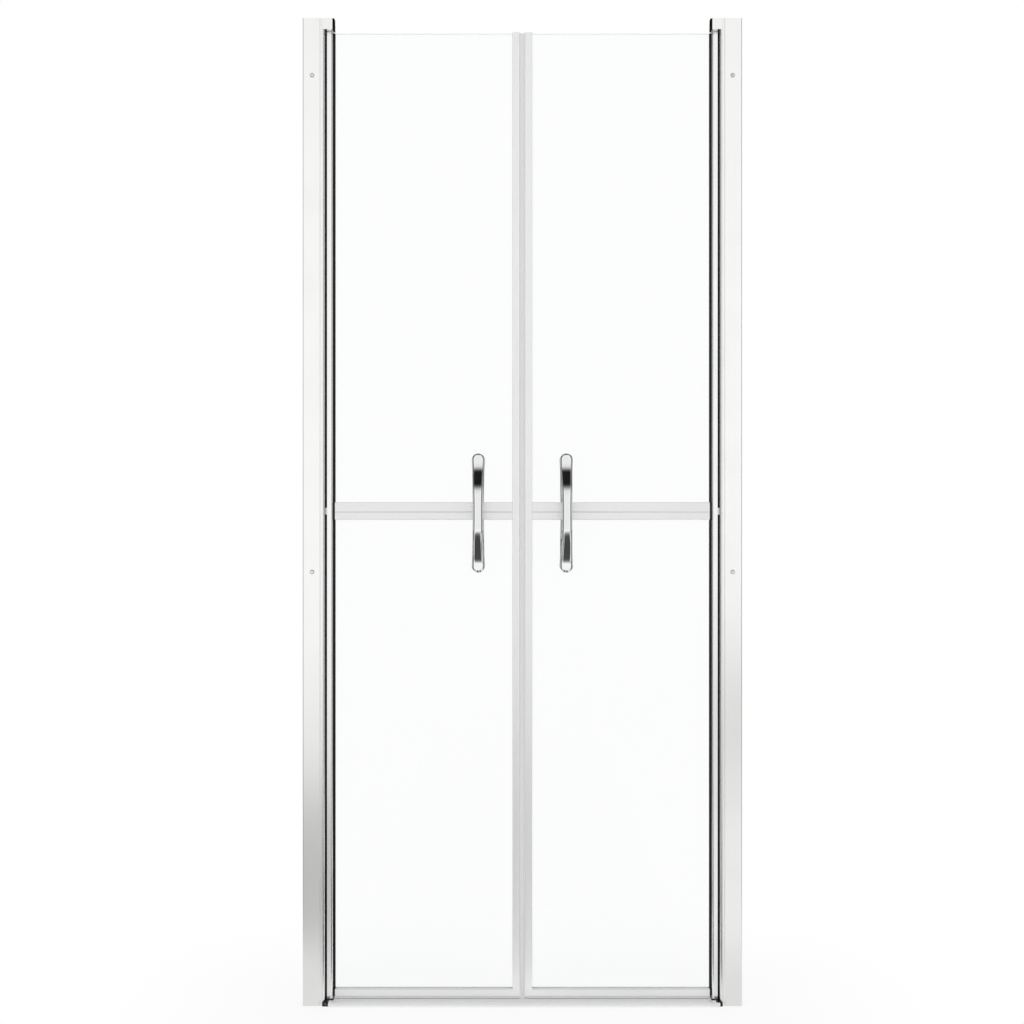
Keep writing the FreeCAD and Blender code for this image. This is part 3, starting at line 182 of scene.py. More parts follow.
@dataclass
class Shader:
    """A node tree that is being written, for a material or for the world."""

    tree: bpy.types.NodeTree

    def __post_init__(self) -> None:
        """Start from an empty tree."""
        self.tree.nodes.clear()

    def node(self, kind: str, settings: dict | None = None, sockets: dict | None = None) -> Node:
        """Add a node.

        Args:
            kind: the node's type.
            settings: properties to set first.
            sockets: input names or numbers, with the value, node output or Value for each.

        Returns:
            The new node.
        """
        made = self.tree.nodes.new(kind)
        for name, setting in (settings or {}).items():
            setattr(made, name, setting)
        for name, given in (sockets or {}).items():
            socket = made.inputs[name]
            source = given.socket if isinstance(given, Value) else given
            if isinstance(source, Socket):
                self.tree.links.new(source, socket)
            else:
                socket.default_value = source
        return made

    def value(self, node: Node, output: str) -> Value:
        """One output of a node as a number to reckon with."""
        return Value(self, node.outputs[output])

    def noise(self, scale: float, detail: float = 3.0, stretch: Grain = Grain.NONE) -> Value:
        """A noise over the object, from 0 to 1.

        Args:
            scale: how many features there are in a metre.
            detail: how many finer layers it has.
            stretch: the direction it is drawn out in.

        Returns:
            The noise.
        """
        where = self.node("ShaderNodeTexCoord").outputs["Object"]
        drawn = self.node("ShaderNodeMapping", {}, {"Vector": where, "Scale": stretch.value})
        made = self.node("ShaderNodeTexNoise", {}, {
            "Vector": drawn.outputs[0], "Scale": scale,
            "Detail": detail, "Roughness": NOISE_ROUGHNESS,
        })
        return self.value(made, "Fac")

    def tint(self, share: Value, first: Colour, second: Colour) -> Socket:
        """Mix two colours.

        Args:
            share: how much of the second colour there is.
            first: the colour at 0.
            second: the colour at 1.

        Returns:
            The mixed colour.
        """
        made = self.node("ShaderNodeMix", {"data_type": "RGBA"}, {
            0: share, 6: (*first, 1.0), 7: (*second, 1.0),
        })
        return made.outputs[2]

    def bump(self, height: Value, depth: float, strength: float) -> Socket:
        """Turn a height into a surface normal.

        Args:
            height: the height, from 0 to 1.
            depth: how deep the whole range is, in metres.
            strength: how much of it is used.

        Returns:
            The normal.
        """
        made = self.node("ShaderNodeBump", {}, {
            "Height": height, "Distance": depth, "Strength": strength,
        })
        return made.outputs[0]

    def axes(self, output: str) -> tuple[Value, Value, Value]:
        """Take one of the texture coordinates apart.

        Args:
            output: which coordinates they are.

        Returns:
            Their X, Y and Z.
        """
        where = self.node("ShaderNodeTexCoord").outputs[output]
        parts = self.node("ShaderNodeSeparateXYZ", {}, {0: where})
        return self.value(parts, "X"), self.value(parts, "Y"), self.value(parts, "Z")

    def mix(self, share: Value, first: Node, second: Node) -> Node:
        """Mix two shader nodes.

        Args:
            share: how much of the second one there is.
            first: the shader at 0.
            second: the shader at 1.

        Returns:
            The mixing node.
        """
        return self.node("ShaderNodeMixShader", {}, {
            0: share, 1: first.outputs[0], 2: second.outputs[0],
        })

    def surface(self, shader: Node) -> None:
        """Send a shader node to the material's output."""
        self.node("ShaderNodeOutputMaterial", {}, {"Surface": shader.outputs[0]})

    def principled(self, sockets: dict) -> Node:
        """Add a Principled shader with these sockets."""
        return self.node("ShaderNodeBsdfPrincipled", {}, sockets)


@dataclass(frozen=True)
class Finish:
    """A finish with a name, which is made into a material once.

    The slot names a material slot for the pieces in this finish; nothing in the script reads it.
    """

    name: str
    slot: str = ""

    def write(self, shader: Shader) -> None:
        """Write the finish's nodes; each kind of finish has its own."""
        raise NotImplementedError

    def material(self) -> bpy.types.Material:
        """Look the finish's material up, or make it when it is first asked for.

        Returns:
            The material.
        """
        found = bpy.data.materials.get(self.name)
        if found is None:
            found = bpy.data.materials.new(self.name)
            found.use_nodes = True
            self.write(Shader(found.node_tree))
        return found


@dataclass(frozen=True)
class AnodisedAluminium(Finish):
    """Drawn aluminium under a satin anodised skin, with faint lines along the profile."""

    colour: Colour = (0.86, 0.86, 0.85)
    shade: Colour = (0.80, 0.80, 0.79)
    grain: Grain = Grain.UPRIGHT
    roughness: float = 0.3
    metallic: float = 1.0
    line_scale: float = 900.0
    fine_scale: float = 2600.0
    handling_scale: float = 7.0
    line_depth: float = 0.00002

    def write(self, shader: Shader) -> None:
        """Write drawing lines into colour, roughness and bump.

        Args:
            shader: the material's node tree.
        """
        lines = shader.noise(self.line_scale, 3.0, self.grain)
        fine = shader.noise(self.fine_scale, 2.0, self.grain)
        handling = shader.noise(self.handling_scale, 4.0)
        rough = self.roughness + (lines - 0.5) * 0.10 + (handling.fade(0.45, 0.75) * 0.05)
        shader.surface(shader.principled({
            "Base Color": shader.tint(lines * 0.6 + handling * 0.4, self.colour, self.shade),
            "Metallic": self.metallic,
            "Roughness": rough,
            "Normal": shader.bump(fine, self.line_depth, 0.35),
        }))


@dataclass(frozen=True)
class PolishedChrome(Finish):
    """Bright chrome plate with the faintest polishing haze."""

    colour: Colour = (0.90, 0.905, 0.91)
    haze_colour: Colour = (0.85, 0.855, 0.86)
    roughness: float = 0.045
    haze_scale: float = 55.0
    wave_scale: float = 30.0
    wave_depth: float = 0.00012

    def write(self, shader: Shader) -> None:
        """Write a haze of fingerprints and a trace of unevenness.

        Args:
            shader: the material's node tree.
        """
        haze = shader.noise(self.haze_scale, 5.0).fade(0.5, 0.8)
        waves = shader.noise(self.wave_scale, 1.0)
        shader.surface(shader.principled({
            "Base Color": shader.tint(haze, self.colour, self.haze_colour),
            "Metallic": 1.0,
            "Roughness": self.roughness + haze * 0.05,
            "Normal": shader.bump(waves, self.wave_depth, 0.2),
        }))


@dataclass(frozen=True)
class ClearGlass(Finish):
    """Toughened clear glass: what is behind shows through, and the faces shine."""

    tint_colour: Colour = (0.990, 0.994, 0.992)
    face_colour: Colour = (0.97, 0.985, 0.98)
    edge_colour: Colour = (0.62, 0.76, 0.70)
    smear_scale: float = 11.0
    square_mirror: float = 0.034
    edge_gloss: float = 0.55

    def write(self, shader: Shader) -> None:
        """Write a clear pane that mirrors by its angle and has a green edge.

        Args:
            shader: the material's node tree.
        """
        smears = shader.noise(self.smear_scale, 4.0).fade(0.55, 0.8)
        edge = 1.0 - abs(shader.axes("Normal")[1]).fade(0.3, 0.6)
        through = shader.node("ShaderNodeBsdfTransparent", {}, {"Color": (*self.tint_colour, 1.0)})
        gloss = shader.principled({
            "Base Color": shader.tint(edge, self.face_colour, self.edge_colour),
            "Roughness": 0.02 + smears * 0.05,
            "Coat Weight": 1.0,
            "Coat Roughness": 0.02,
        })
        glance = shader.value(shader.node("ShaderNodeLayerWeight", {}, {"Blend": 0.5}), "Facing")
        rise = glance * glance * glance * glance * glance
        mirror = rise * (1.0 - self.square_mirror) + self.square_mirror
        share = mirror * (1.0 - edge) + edge * self.edge_gloss
        shader.surface(shader.mix(share, through, gloss))


@dataclass(frozen=True)
class Rubber(Finish):
    """Extruded seal rubber: near black, soft sheen, a little dust."""

    colour: Colour = (0.018, 0.018, 0.019)
    dust: Colour = (0.07, 0.07, 0.07)
    roughness: float = 0.5
    gloss: float = 0.45
    grain: Grain = Grain.UPRIGHT
    line_scale: float = 1400.0
    dust_scale: float = 60.0
    skin_scale: float = 4200.0
    skin_depth: float = 0.00006

    def write(self, shader: Shader) -> None:
        """Write extrusion lines, dust and a grainy skin.

        Args:
            shader: the material's node tree.
        """
        lines = shader.noise(self.line_scale, 2.0, self.grain)
        dust = shader.noise(self.dust_scale, 5.0).fade(0.52, 0.85)
        skin = shader.noise(self.skin_scale, 2.0)
        shader.surface(shader.principled({
            "Base Color": shader.tint(dust * 0.7, self.colour, self.dust),
            "Roughness": self.roughness + dust * 0.2 + (lines - 0.5) * 0.12,
            "Normal": shader.bump(lines * 0.6 + skin * 0.4, self.skin_depth, 0.5),
            "Specular IOR Level": self.gloss,
        }))


@dataclass(frozen=True)
class MouldedPlastic(Finish):
    """Moulded plastic with a fine spark-eroded grain."""

    colour: Colour = (0.03, 0.03, 0.032)
    worn: Colour = (0.06, 0.06, 0.062)
    roughness: float = 0.42
    gloss: float = 0.5
    grain_scale: float = 5200.0
    patch_scale: float = 38.0
    grain_depth: float = 0.00005

    def write(self, shader: Shader) -> None:
        """Write the grain, with slight colour and gloss changes.

        Args:
            shader: the material's node tree.
        """
        grain = shader.noise(self.grain_scale, 2.0)
        patches = shader.noise(self.patch_scale, 4.0)
        shader.surface(shader.principled({
            "Base Color": shader.tint(patches.fade(0.4, 0.8), self.colour, self.worn),
            "Roughness": self.roughness + (patches - 0.5) * 0.16,
            "Specular IOR Level": self.gloss,
            "Normal": shader.bump(grain, self.grain_depth, 0.45),
        }))


@dataclass(frozen=True)
class ClearVinyl(Finish):
    """Soft clear vinyl of seals and liners, slightly milky."""

    colour: Colour = (0.86, 0.88, 0.88)
    milk_colour: Colour = (0.88, 0.90, 0.90)
    opacity: float = 0.5
    roughness: float = 0.22
    grain: Grain = Grain.UPRIGHT
    line_scale: float = 1100.0
    milk_scale: float = 24.0
    line_depth: float = 0.00008

    def write(self, shader: Shader) -> None:
        """Write a milky see-through skin with extrusion lines.

        Args:
            shader: the material's node tree.
        """
        lines = shader.noise(self.line_scale, 3.0, self.grain)
        milk = shader.noise(self.milk_scale, 3.0)
        shader.surface(shader.principled({
            "Base Color": shader.tint(milk, self.colour, self.milk_colour),
            "Roughness": self.roughness + (lines - 0.5) * 0.14,
            "Alpha": self.opacity + (milk - 0.5) * 0.12,
            "Normal": shader.bump(lines, self.line_depth, 0.4),
        }))


@dataclass(frozen=True)
class TurnedSteel(Finish):
    """Bright stainless steel of screws, pins and studs."""

    colour: Colour = (0.84, 0.84, 0.85)
    stain_colour: Colour = (0.70, 0.70, 0.70)
    roughness: float = 0.26
    mark_scale: float = 2300.0
    stain_scale: float = 160.0
    mark_depth: float = 0.00003

    def write(self, shader: Shader) -> None:
        """Write turning marks and small stains.

        Args:
            shader: the material's node tree.
        """
        marks = shader.noise(self.mark_scale, 2.0)
        stain = shader.noise(self.stain_scale, 4.0).fade(0.5, 0.9)
        shader.surface(shader.principled({
            "Base Color": shader.tint(stain, self.colour, self.stain_colour),
            "Metallic": 1.0,
            "Roughness": self.roughness + (marks - 0.5) * 0.16 + stain * 0.1,
            "Normal": shader.bump(marks, self.mark_depth, 0.4),
        }))


WALL_ALUMINIUM = AnodisedAluminium(
    "wall aluminium", colour=(0.985, 0.985, 0.97), shade=(0.955, 0.955, 0.94), roughness=0.2
)
NOSE_ALUMINIUM = AnodisedAluminium(
    "adjusting aluminium", colour=(0.95, 0.95, 0.935), shade=(0.91, 0.91, 0.895), roughness=0.22
)
PIVOT_ALUMINIUM = AnodisedAluminium(
    "hinge stile aluminium", colour=grey(0.98), shade=grey(0.94), roughness=0.22
)
STILE_ALUMINIUM = AnodisedAluminium(
    "meeting stile aluminium", colour=grey(0.96), shade=grey(0.91), metallic=0.5
)
RAIL_ALUMINIUM = AnodisedAluminium(
    "rail aluminium", colour=grey(0.90), shade=grey(0.85),
    grain=Grain.LEVEL, metallic=0.6,
)
SILL_ALUMINIUM = AnodisedAluminium(
    "threshold aluminium", colour=grey(0.96), shade=grey(0.91),
    grain=Grain.LEVEL, roughness=0.42, metallic=0.2,
)
HANDLE_CHROME = PolishedChrome("handle chrome", "handle_chrome")
PANE_GLASS = ClearGlass("clear pane glass")
SEAL_RUBBER = Rubber(
    "black seal rubber", "black_rubber", colour=(0.008, 0.008, 0.009), dust=grey(0.03), gloss=0.25
)
MAGNET_RUBBER = Rubber(
    "grey magnet rubber", "grey_magnet", colour=grey(0.77), dust=grey(0.82), roughness=0.4
)
TAPE_BUTYL = Rubber(
    "grey butyl tape", "sealing_tape", colour=(0.42, 0.42, 0.41), dust=(0.55, 0.55, 0.54),
    roughness=0.7, grain=Grain.LEVEL,
)
BLACK_PLASTIC = MouldedPlastic(
    "black moulded plastic", colour=(0.010, 0.010, 0.011), worn=grey(0.03), gloss=0.3
)
# Painted dark reflection: near-black matt finish for the sheet on the pivot block's side.
PAINTED_REFLECTION_BLACK = MouldedPlastic(
    "painted dark reflection black", "black_plastic", colour=grey(0.003), worn=grey(0.008),
    roughness=0.8, gloss=0.03,
)
LIGHT_PLASTIC = MouldedPlastic(
    "light moulded plastic", "light_plastic", colour=(0.95, 0.95, 0.94), worn=(0.90, 0.90, 0.89)
)
SEAL_VINYL = ClearVinyl(
    "clear seal vinyl", "clear_plastic", colour=(0.97, 0.98, 0.98), opacity=0.92
)
RAIL_VINYL = ClearVinyl(
    "clear rail vinyl", "clear_plastic", colour=(0.94, 0.95, 0.95), opacity=0.8, grain=Grain.LEVEL
)
SCREW_STEEL = TurnedSteel("screw steel")
DARK_STEEL = TurnedSteel(
    "blackened screw steel", colour=(0.16, 0.16, 0.165), stain_colour=grey(0.10)
)
WALL_FINISHES: dict[str, Finish] = {
    "wall_profile": WALL_ALUMINIUM,
    "adjusting_profile": NOSE_ALUMINIUM,
    "clamp_screws": SCREW_STEEL,
    "clamp_nuts": SCREW_STEEL,
    "top_pivot_block": WALL_ALUMINIUM,
    "bottom_pivot_foot": BLACK_PLASTIC,
    "block_screws": DARK_STEEL,
    "pivot_bushes": LIGHT_PLASTIC,
}
LEAF_FINISHES: dict[str, Finish] = {
    "hinge_stile": PIVOT_ALUMINIUM,
    "stile_plugs": LIGHT_PLASTIC,
    "pivot_pins": SCREW_STEEL,
    "mid_guide": LIGHT_PLASTIC,
    "upper_pane": PANE_GLASS,
    "lower_pane": PANE_GLASS,
    "mid_rail": RAIL_ALUMINIUM,
    "bottom_rail": RAIL_ALUMINIUM,
    "rail_joints": BLACK_PLASTIC,
    "rail_screw": SCREW_STEEL,
    "meeting_stile": STILE_ALUMINIUM,
    "handle_bushes": LIGHT_PLASTIC,
    "handle_studs": SCREW_STEEL,
}


@dataclass
class Strip:
    """A long soft piece of one section, extruded upright or level."""

    name: str
    outline: list[Point]
    run: Run
    finish: Finish
    body: str
    lengths: list[Span]

    def build(self) -> bpy.types.Object:
        """Build the strip's lengths as one closed mesh and dress it.

        Returns:
            The piece, riding on its body.
        """
        corners: list[Spot] = []
        faces: list[tuple[int, ...]] = []
        count = len(self.outline)
        for start, end in self.lengths:
            first = len(corners)
            for at in (start, end):
                corners += [self._corner(point, at) for point in self.outline]
            faces.append(tuple(range(first + count - 1, first - 1, -1)))
            faces.append(tuple(range(first + count, first + 2 * count)))
            faces += sleeve(first, first + count, count)
        return make_piece(self.name, corners, faces, self.finish, self.body)

    def _corner(self, point: Point, at: float) -> Spot:
        """A point of the section, placed along the strip."""
        return (*point, at) if self.run is Run.UPRIGHT else (at, *point)


def placed(name: str, data: bpy.types.ID) -> bpy.types.Object:
    """Put a new object into the scene.

    Args:
        name: the object's name.
        data: its mesh, light or camera.

    Returns:
        The object.
    """
    made = bpy.data.objects.new(name, data)
    bpy.context.scene.collection.objects.link(made)
    return made


def sleeve(first: int, second: int, count: int) -> list[tuple[int, ...]]:
    """The faces between two closed rings of corners.

    Args:
        first: the number of the first ring's first corner.
        second: the number of the second ring's first corner.
        count: how many corners each ring has.

    Returns:
        One face for each pair of neighbours.
    """
    faces = []
    for index in range(count):
        following = (index + 1) % count
        faces.append((first + index, first + following, second + following, second + index))
    return faces


def make_piece(
    name: str, corners: list[Spot], faces: list[tuple[int, ...]], finish: Finish, body: str
) -> bpy.types.Object:
    """Make a piece, turn its faces outward, shade it, give it its finish and let it ride.

    Args:
        name: the piece's name.
        corners: its mesh's corners.
        faces: its mesh's faces, as numbers of corners.
        finish: its finish.
        body: the CAD body that it moves with.

    Returns:
        The new piece.
    """
    mesh = bpy.data.meshes.new(name)
    mesh.from_pydata(corners, [], faces)
    mesh.validate()
    piece = placed(name, mesh)
    bpy.context.view_layer.objects.active = piece
    piece.select_set(True)
    bpy.ops.object.mode_set(mode="EDIT")
    bpy.ops.mesh.select_all(action="SELECT")
    bpy.ops.mesh.normals_make_consistent(inside=False)
    bpy.ops.object.mode_set(mode="OBJECT")
    bpy.ops.object.shade_smooth_by_angle(angle=SMOOTH_ANGLE)
    piece.select_set(False)
    mesh.materials.append(finish.material())
    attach(piece, body)
    LOG.info("built %s on %s", piece.name, body)
    return piece


def rounded(points: list[Point], radius: float, steps: int = 4) -> list[Point]:
    """Round every corner of a closed outline.

    Args:
        points: the outline's corners.
        radius: how far the rounding reaches along each edge, at most EDGE_SHARE of the edge.
        steps: how many short edges a corner gets.

    Returns:
        The outline with its corners rounded.
    """
    smooth: list[Point] = []
    for index, (x, y) in enumerate(points):
        here = Vector((x, y))
        before = Vector(points[index - 1]) - here
        after = Vector(points[(index + 1) % len(points)]) - here
        start = here + before.normalized() * min(radius, before.length * EDGE_SHARE)
        end = here + after.normalized() * min(radius, after.length * EDGE_SHARE)
        for step in range(steps + 1):
            share = step / steps
            spot = start * (1 - share) ** 2 + here * (2 * share * (1 - share)) + end * share**2
            smooth.append((spot.x, spot.y))
    return smooth


def finish_node(node: str, finish: Finish) -> None:
    """Give a CAD node its finish.

    Args:
        node: the node's name.
        finish: the finish for all its faces.
    """
    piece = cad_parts[node]
    if not piece.material_slots:
        piece.data.materials.append(None)
    for slot in piece.material_slots:
        slot.material = finish.material()
    LOG.info("finished %s in %s", node, finish.name)


def both_halves(half: list[Point]) -> list[Point]:
    """A closed section from its half below zero: the half, and back along its mirror image."""
    return half + [(along, -across) for along, across in reversed(half)]


@dataclass
class SidePart:
    """Something on one side of the doorway, with the names and places of its nodes."""

    side: Side

    @property
    def leaf(self) -> str:
        """The CAD body that this side's leaf moves with."""
        return f"{self.side.label}_leaf"

    def node(self, part: str) -> str:
        """A node's full name on this side."""
        return f"{part}_{self.side.label}"

    def offs(self, part: str) -> Span:
        """The nearest and the furthest distance of a node from the middle."""
        low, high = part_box(self.node(part))
        return tuple(sorted((abs(low.x), abs(high.x))))

    def mirrored(self, points: list[Point]) -> list[Point]:
        """Plan points given as (distance from the middle, Y), turned into X and Y."""
        return [(off * self.side.value, y) for off, y in points]


@dataclass
class WallSide(SidePart):
    """What stands still on one side of the doorway, with its groove seal."""

    skin: float = 1.1 * MM
    skin_half: float = 12.0 * MM
    skin_round: float = 0.25 * MM
    sheet_thickness: float = 3.0 * MM
    sheet_edge: float = 0.4 * MM
    sheet_setback: float = 7.0 * MM
    sheet_round: float = 0.5 * MM
    flange_radius: float = 7.6 * MM
    flange_gap: float = 0.1 * MM
    flange_steps: int = 48
    bulb_half: float = 5.0 * MM
    bulb_steps: int = 8
    root_half: float = 2.4 * MM
    bead_pitch: float = 2.2 * MM
    bead_flat: float = 0.7
    bead_notch: float = 0.85
    bead_depth: float = 0.3 * MM
    clearance: float = 0.3 * MM

    def build(self) -> None:
        """Finish the fixed profiles, and build the groove seal and a black sheet of painted dark
        reflection on the pivot block.
        """
        for part, finish in WALL_FINISHES.items():
            finish_node(self.node(part), finish)
        self.groove_seal()
        self.block_cover()
        self.bush_flange()

    def groove_seal(self) -> None:
        """Build the black bulb seal along the adjusting profile's nose."""
        low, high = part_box(self.node("groove_seal"))
        guide_low, guide_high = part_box(self.node("mid_guide"))
        section = self._section(self.offs("top_pivot_block")[1], *self.offs("groove_seal"))
        outline = rounded(self.mirrored(section), self.skin_round, steps=3)
        lengths = [(low.z, guide_low.z - self.clearance), (guide_high.z + self.clearance, high.z)]
        seal = Strip(self.node("groove_bulb_seal"), outline, Run.UPRIGHT, SEAL_RUBBER,
                     "frame", lengths).build()
        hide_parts(self.node("groove_seal"))

    def block_cover(self) -> None:
        """Build a matt black sheet on the front half of the pivot block's side, at the doorway:
        painted dark reflection, standing in for the side face mirroring dark surroundings.
        """
        low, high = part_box(self.node("top_pivot_block"))
        face = self.offs("top_pivot_block")[0] * self.side.value
        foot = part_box(self.node("hinge_stile"))[1].z + self.sheet_edge
        head = high.z - self.sheet_edge
        fore = low.y + self.sheet_edge
        rear = (low.y + high.y) / 2 - self.sheet_setback
        corners = [(fore, foot), (rear, foot), (rear, head), (fore, head)]
        near, far = sorted((face, face - self.sheet_thickness * self.side.value))
        # This sheet is painted dark reflection on the block's side face.
        Strip(self.node("pivot_block_cover"), rounded(corners, self.sheet_round),
              Run.LEVEL, PAINTED_REFLECTION_BLACK, "frame", [(near, far)]).build()

    def bush_flange(self) -> None:
        """Build the pivot bush's round flange, in the gap between hinge stile and block."""
        pin_low, pin_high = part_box(self.node("pivot_pins"))
        middle = Vector(((pin_low.x + pin_high.x) / 2, (pin_low.y + pin_high.y) / 2))
        hole = (pin_high.x - pin_low.x) / 2 + self.flange_gap
        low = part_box(self.node("hinge_stile"))[1].z + self.flange_gap
        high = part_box(self.node("top_pivot_block"))[0].z - self.flange_gap
        edges = [(self.flange_radius, low), (self.flange_radius, high), (hole, high), (hole, low)]
        corners: list[Spot] = []
        faces: list[tuple[int, ...]] = []
        count = len(edges)
        for step in range(self.flange_steps):
            turn = math.tau * step / self.flange_steps
            corners += [(middle.x + radius * math.cos(turn), middle.y + radius * math.sin(turn), z)
                        for radius, z in edges]
            following = (step + 1) % self.flange_steps
            faces += sleeve(step * count, following * count, count)
        make_piece(self.node("pivot_bush_flange"), corners, faces, LIGHT_PLASTIC, "frame")

    def _section(self, nose_off: float, tip: float, root: float) -> list[Point]:
        """The seal's section: root in the slot, ribbed skin on the nose and a round bulb.

        Args:
            nose_off: how far the nose is from the middle.
            tip: how far the bulb's tip is.
            root: how far the root's end is.

        Returns:
            The section's corners.
        """
        half = [(root, -self.root_half), (nose_off, -self.root_half), (nose_off, -self.skin_half)]
        skin_off = nose_off - self.skin
        y = -self.skin_half
        while y + self.bead_pitch < -self.bulb_half:
            half.append((skin_off, y))
            half.append((skin_off, y + self.bead_pitch * self.bead_flat))
            half.append((skin_off + self.bead_depth, y + self.bead_pitch * self.bead_notch))
            y += self.bead_pitch
        rise = skin_off - tip
        for step in range(self.bulb_steps + 1):
            turn = math.pi / 2 * step / self.bulb_steps
            half.append((skin_off - rise * math.sin(turn), -self.bulb_half * math.cos(turn)))
        return half + [(off, -y) for off, y in reversed(half[:-1])]


@dataclass
class Leaf(SidePart):
    """One swinging leaf without its handles: stiles, rails, panes and seals."""

    glass_half: float = 2.0 * MM
    gasket_half: float = 3.6 * MM
    liner_half: float = 2.8 * MM
    liner_lip: float = 0.5 * MM
    liner_lip_share: float = 0.3
    liner_shoulder: float = 0.15 * MM
    liner_drop: float = 0.4 * MM
    lip_round: float = 1.1 * MM
    lip_chamfer: float = 0.33 * MM
    gasket_inset: float = 1.5 * MM
    seal_round: float = 0.25 * MM
    drip_neck: float = 1.45 * MM
    drip_head: float = 2.65 * MM
    drip_ledge: float = 1.2 * MM
    drip_skirt: float = 0.9 * MM
    fin_root: float = 1.1 * MM
    fin_lift: float = 0.3 * MM
    outer_fin: Spot = (0.5 * MM, 1.1 * MM, 1.4 * MM)
    middle_fin: Span = (1.9 * MM, 0.9 * MM)
    closing_lip: float = 5.5 * MM
    closing_neck: float = 2.35 * MM
    closing_head: float = 3.85 * MM
    closing_root: float = 1.45 * MM
    closing_bevel: float = 0.5 * MM
    closing_rims: Span = (0.3 * MM, 0.8 * MM)
    closing_round: float = 0.2 * MM
    foot_round: float = 0.3 * MM
    magnet_round: float = 0.5 * MM
    magnet_half: float = 4.5 * MM
    magnet_joint: float = 859.0 * MM
    magnet_gap: float = 0.25 * MM

    def build(self) -> None:
        """Finish the leaf's hard parts and build its soft ones."""
        for part, finish in LEAF_FINISHES.items():
            finish_node(self.node(part), finish)
        self.hinge_gasket()
        self.pane_liners()
        self.drip_seal()
        self.closing_seal()

    def hinge_gasket(self) -> None:
        """Build the black glazing channel along the hinge edge, with round lips."""
        low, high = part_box(self.node("hinge_gasket"))
        near, far = self.offs("hinge_gasket")
        pane_end = self.offs("upper_pane")[1]
        rail_low, rail_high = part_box(self.node("mid_rail"))
        lip = -self.gasket_half
        half = [
            (far, lip), (near + self.lip_round, lip),
            (near + self.lip_chamfer, lip + self.lip_chamfer), (near, lip + self.lip_round),
            (near, -self.glass_half), (pane_end, -self.glass_half),
        ]
        outline = self.mirrored(both_halves(half))
        lengths = [(low.z, rail_low.z + self.gasket_inset),
                   (rail_high.z - self.gasket_inset, high.z)]
        gasket = Strip(self.node("hinge_glazing_gasket"), outline, Run.UPRIGHT, SEAL_RUBBER,
                       self.leaf, lengths).build()
        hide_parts(self.node("hinge_gasket"))

    def pane_liners(self) -> None:
        """Build the clear channels that bed the panes in the meeting stile and the rails."""
        root, mouth = self.offs("pane_liners")[0], self.offs("meeting_stile")[1]
        glass = self.offs("upper_pane")[0]
        end = self.offs("mid_rail")[1]
        upper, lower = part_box(self.node("upper_pane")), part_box(self.node("lower_pane"))
        mid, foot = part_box(self.node("mid_rail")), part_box(self.node("bottom_rail"))
        floor = glass - root
        plan = self.mirrored(self._channel(root, glass, mouth))
        lengths = [(foot[1].z, lower[1].z), (upper[0].z, upper[1].z)]
        stile = Strip(self.node("glazing_liner_stile"), plan, Run.UPRIGHT, SEAL_VINYL,
                      self.leaf, lengths).build()
        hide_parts(self.node("pane_liners"))
        length = [tuple(sorted((mouth * self.side.value, end * self.side.value)))]
        for name, edge, rim, way in (
            ("above", upper[0].z, mid[1].z, 1.0),
            ("below", lower[1].z, mid[0].z, -1.0),
            ("bottom", lower[0].z, foot[1].z, 1.0),
        ):
            outline = [(y, z) for z, y in self._channel(edge - floor * way, edge, rim)]
            Strip(self.node(f"glazing_liner_{name}"), outline, Run.LEVEL, RAIL_VINYL,
                  self.leaf, length).build()

    def _channel(self, root: float, glass: float, mouth: float) -> list[Point]:
        """A channel's section round the edge of a pane, as (along the pane, across it).

        Args:
            root: where the channel's floor starts.
            glass: where the pane's edge is.
            mouth: where the channel's lips end.

        Returns:
            The section's corners, with its lips rounded.
        """
        lip = math.copysign(self.liner_lip, mouth - root)
        half = [
            (root, -self.liner_half), (mouth - lip, -self.liner_half),
            (mouth - lip * self.liner_lip_share, -self.liner_half + self.liner_shoulder),
            (mouth, -self.liner_half + self.liner_drop),
            (mouth, -self.glass_half), (glass, -self.glass_half),
        ]
        return both_halves(half)

    def drip_seal(self) -> None:
        """Build the clear drip seal, with a head in the rail and soft fins below it."""
        low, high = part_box(self.node("drip_seal"))
        rail_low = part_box(self.node("bottom_rail"))[0].z
        ledge, skirt = rail_low + self.drip_ledge, rail_low - self.drip_skirt
        fin_root, fin_tip = rail_low - self.fin_root, low.z + self.fin_lift
        fore, rear, heel = (low.y + inset for inset in self.outer_fin)
        half = [
            (high.z, -self.drip_head), (ledge, -self.drip_head),
            (ledge, -self.drip_neck), (rail_low, -self.drip_neck),
            (rail_low, low.y), (skirt, low.y),
            (fin_tip, fore), (fin_tip, rear), (fin_root, heel),
            (fin_root, -self.middle_fin[0]), (low.z, -self.middle_fin[1]),
        ]
        outline = rounded([(y, z) for z, y in both_halves(half)], self.seal_round, steps=3)
        seal = Strip(self.node("finned_drip_seal"), outline, Run.LEVEL, RAIL_VINYL,
                     self.leaf, [(low.x, high.x)]).build()
        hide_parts(self.node("drip_seal"))

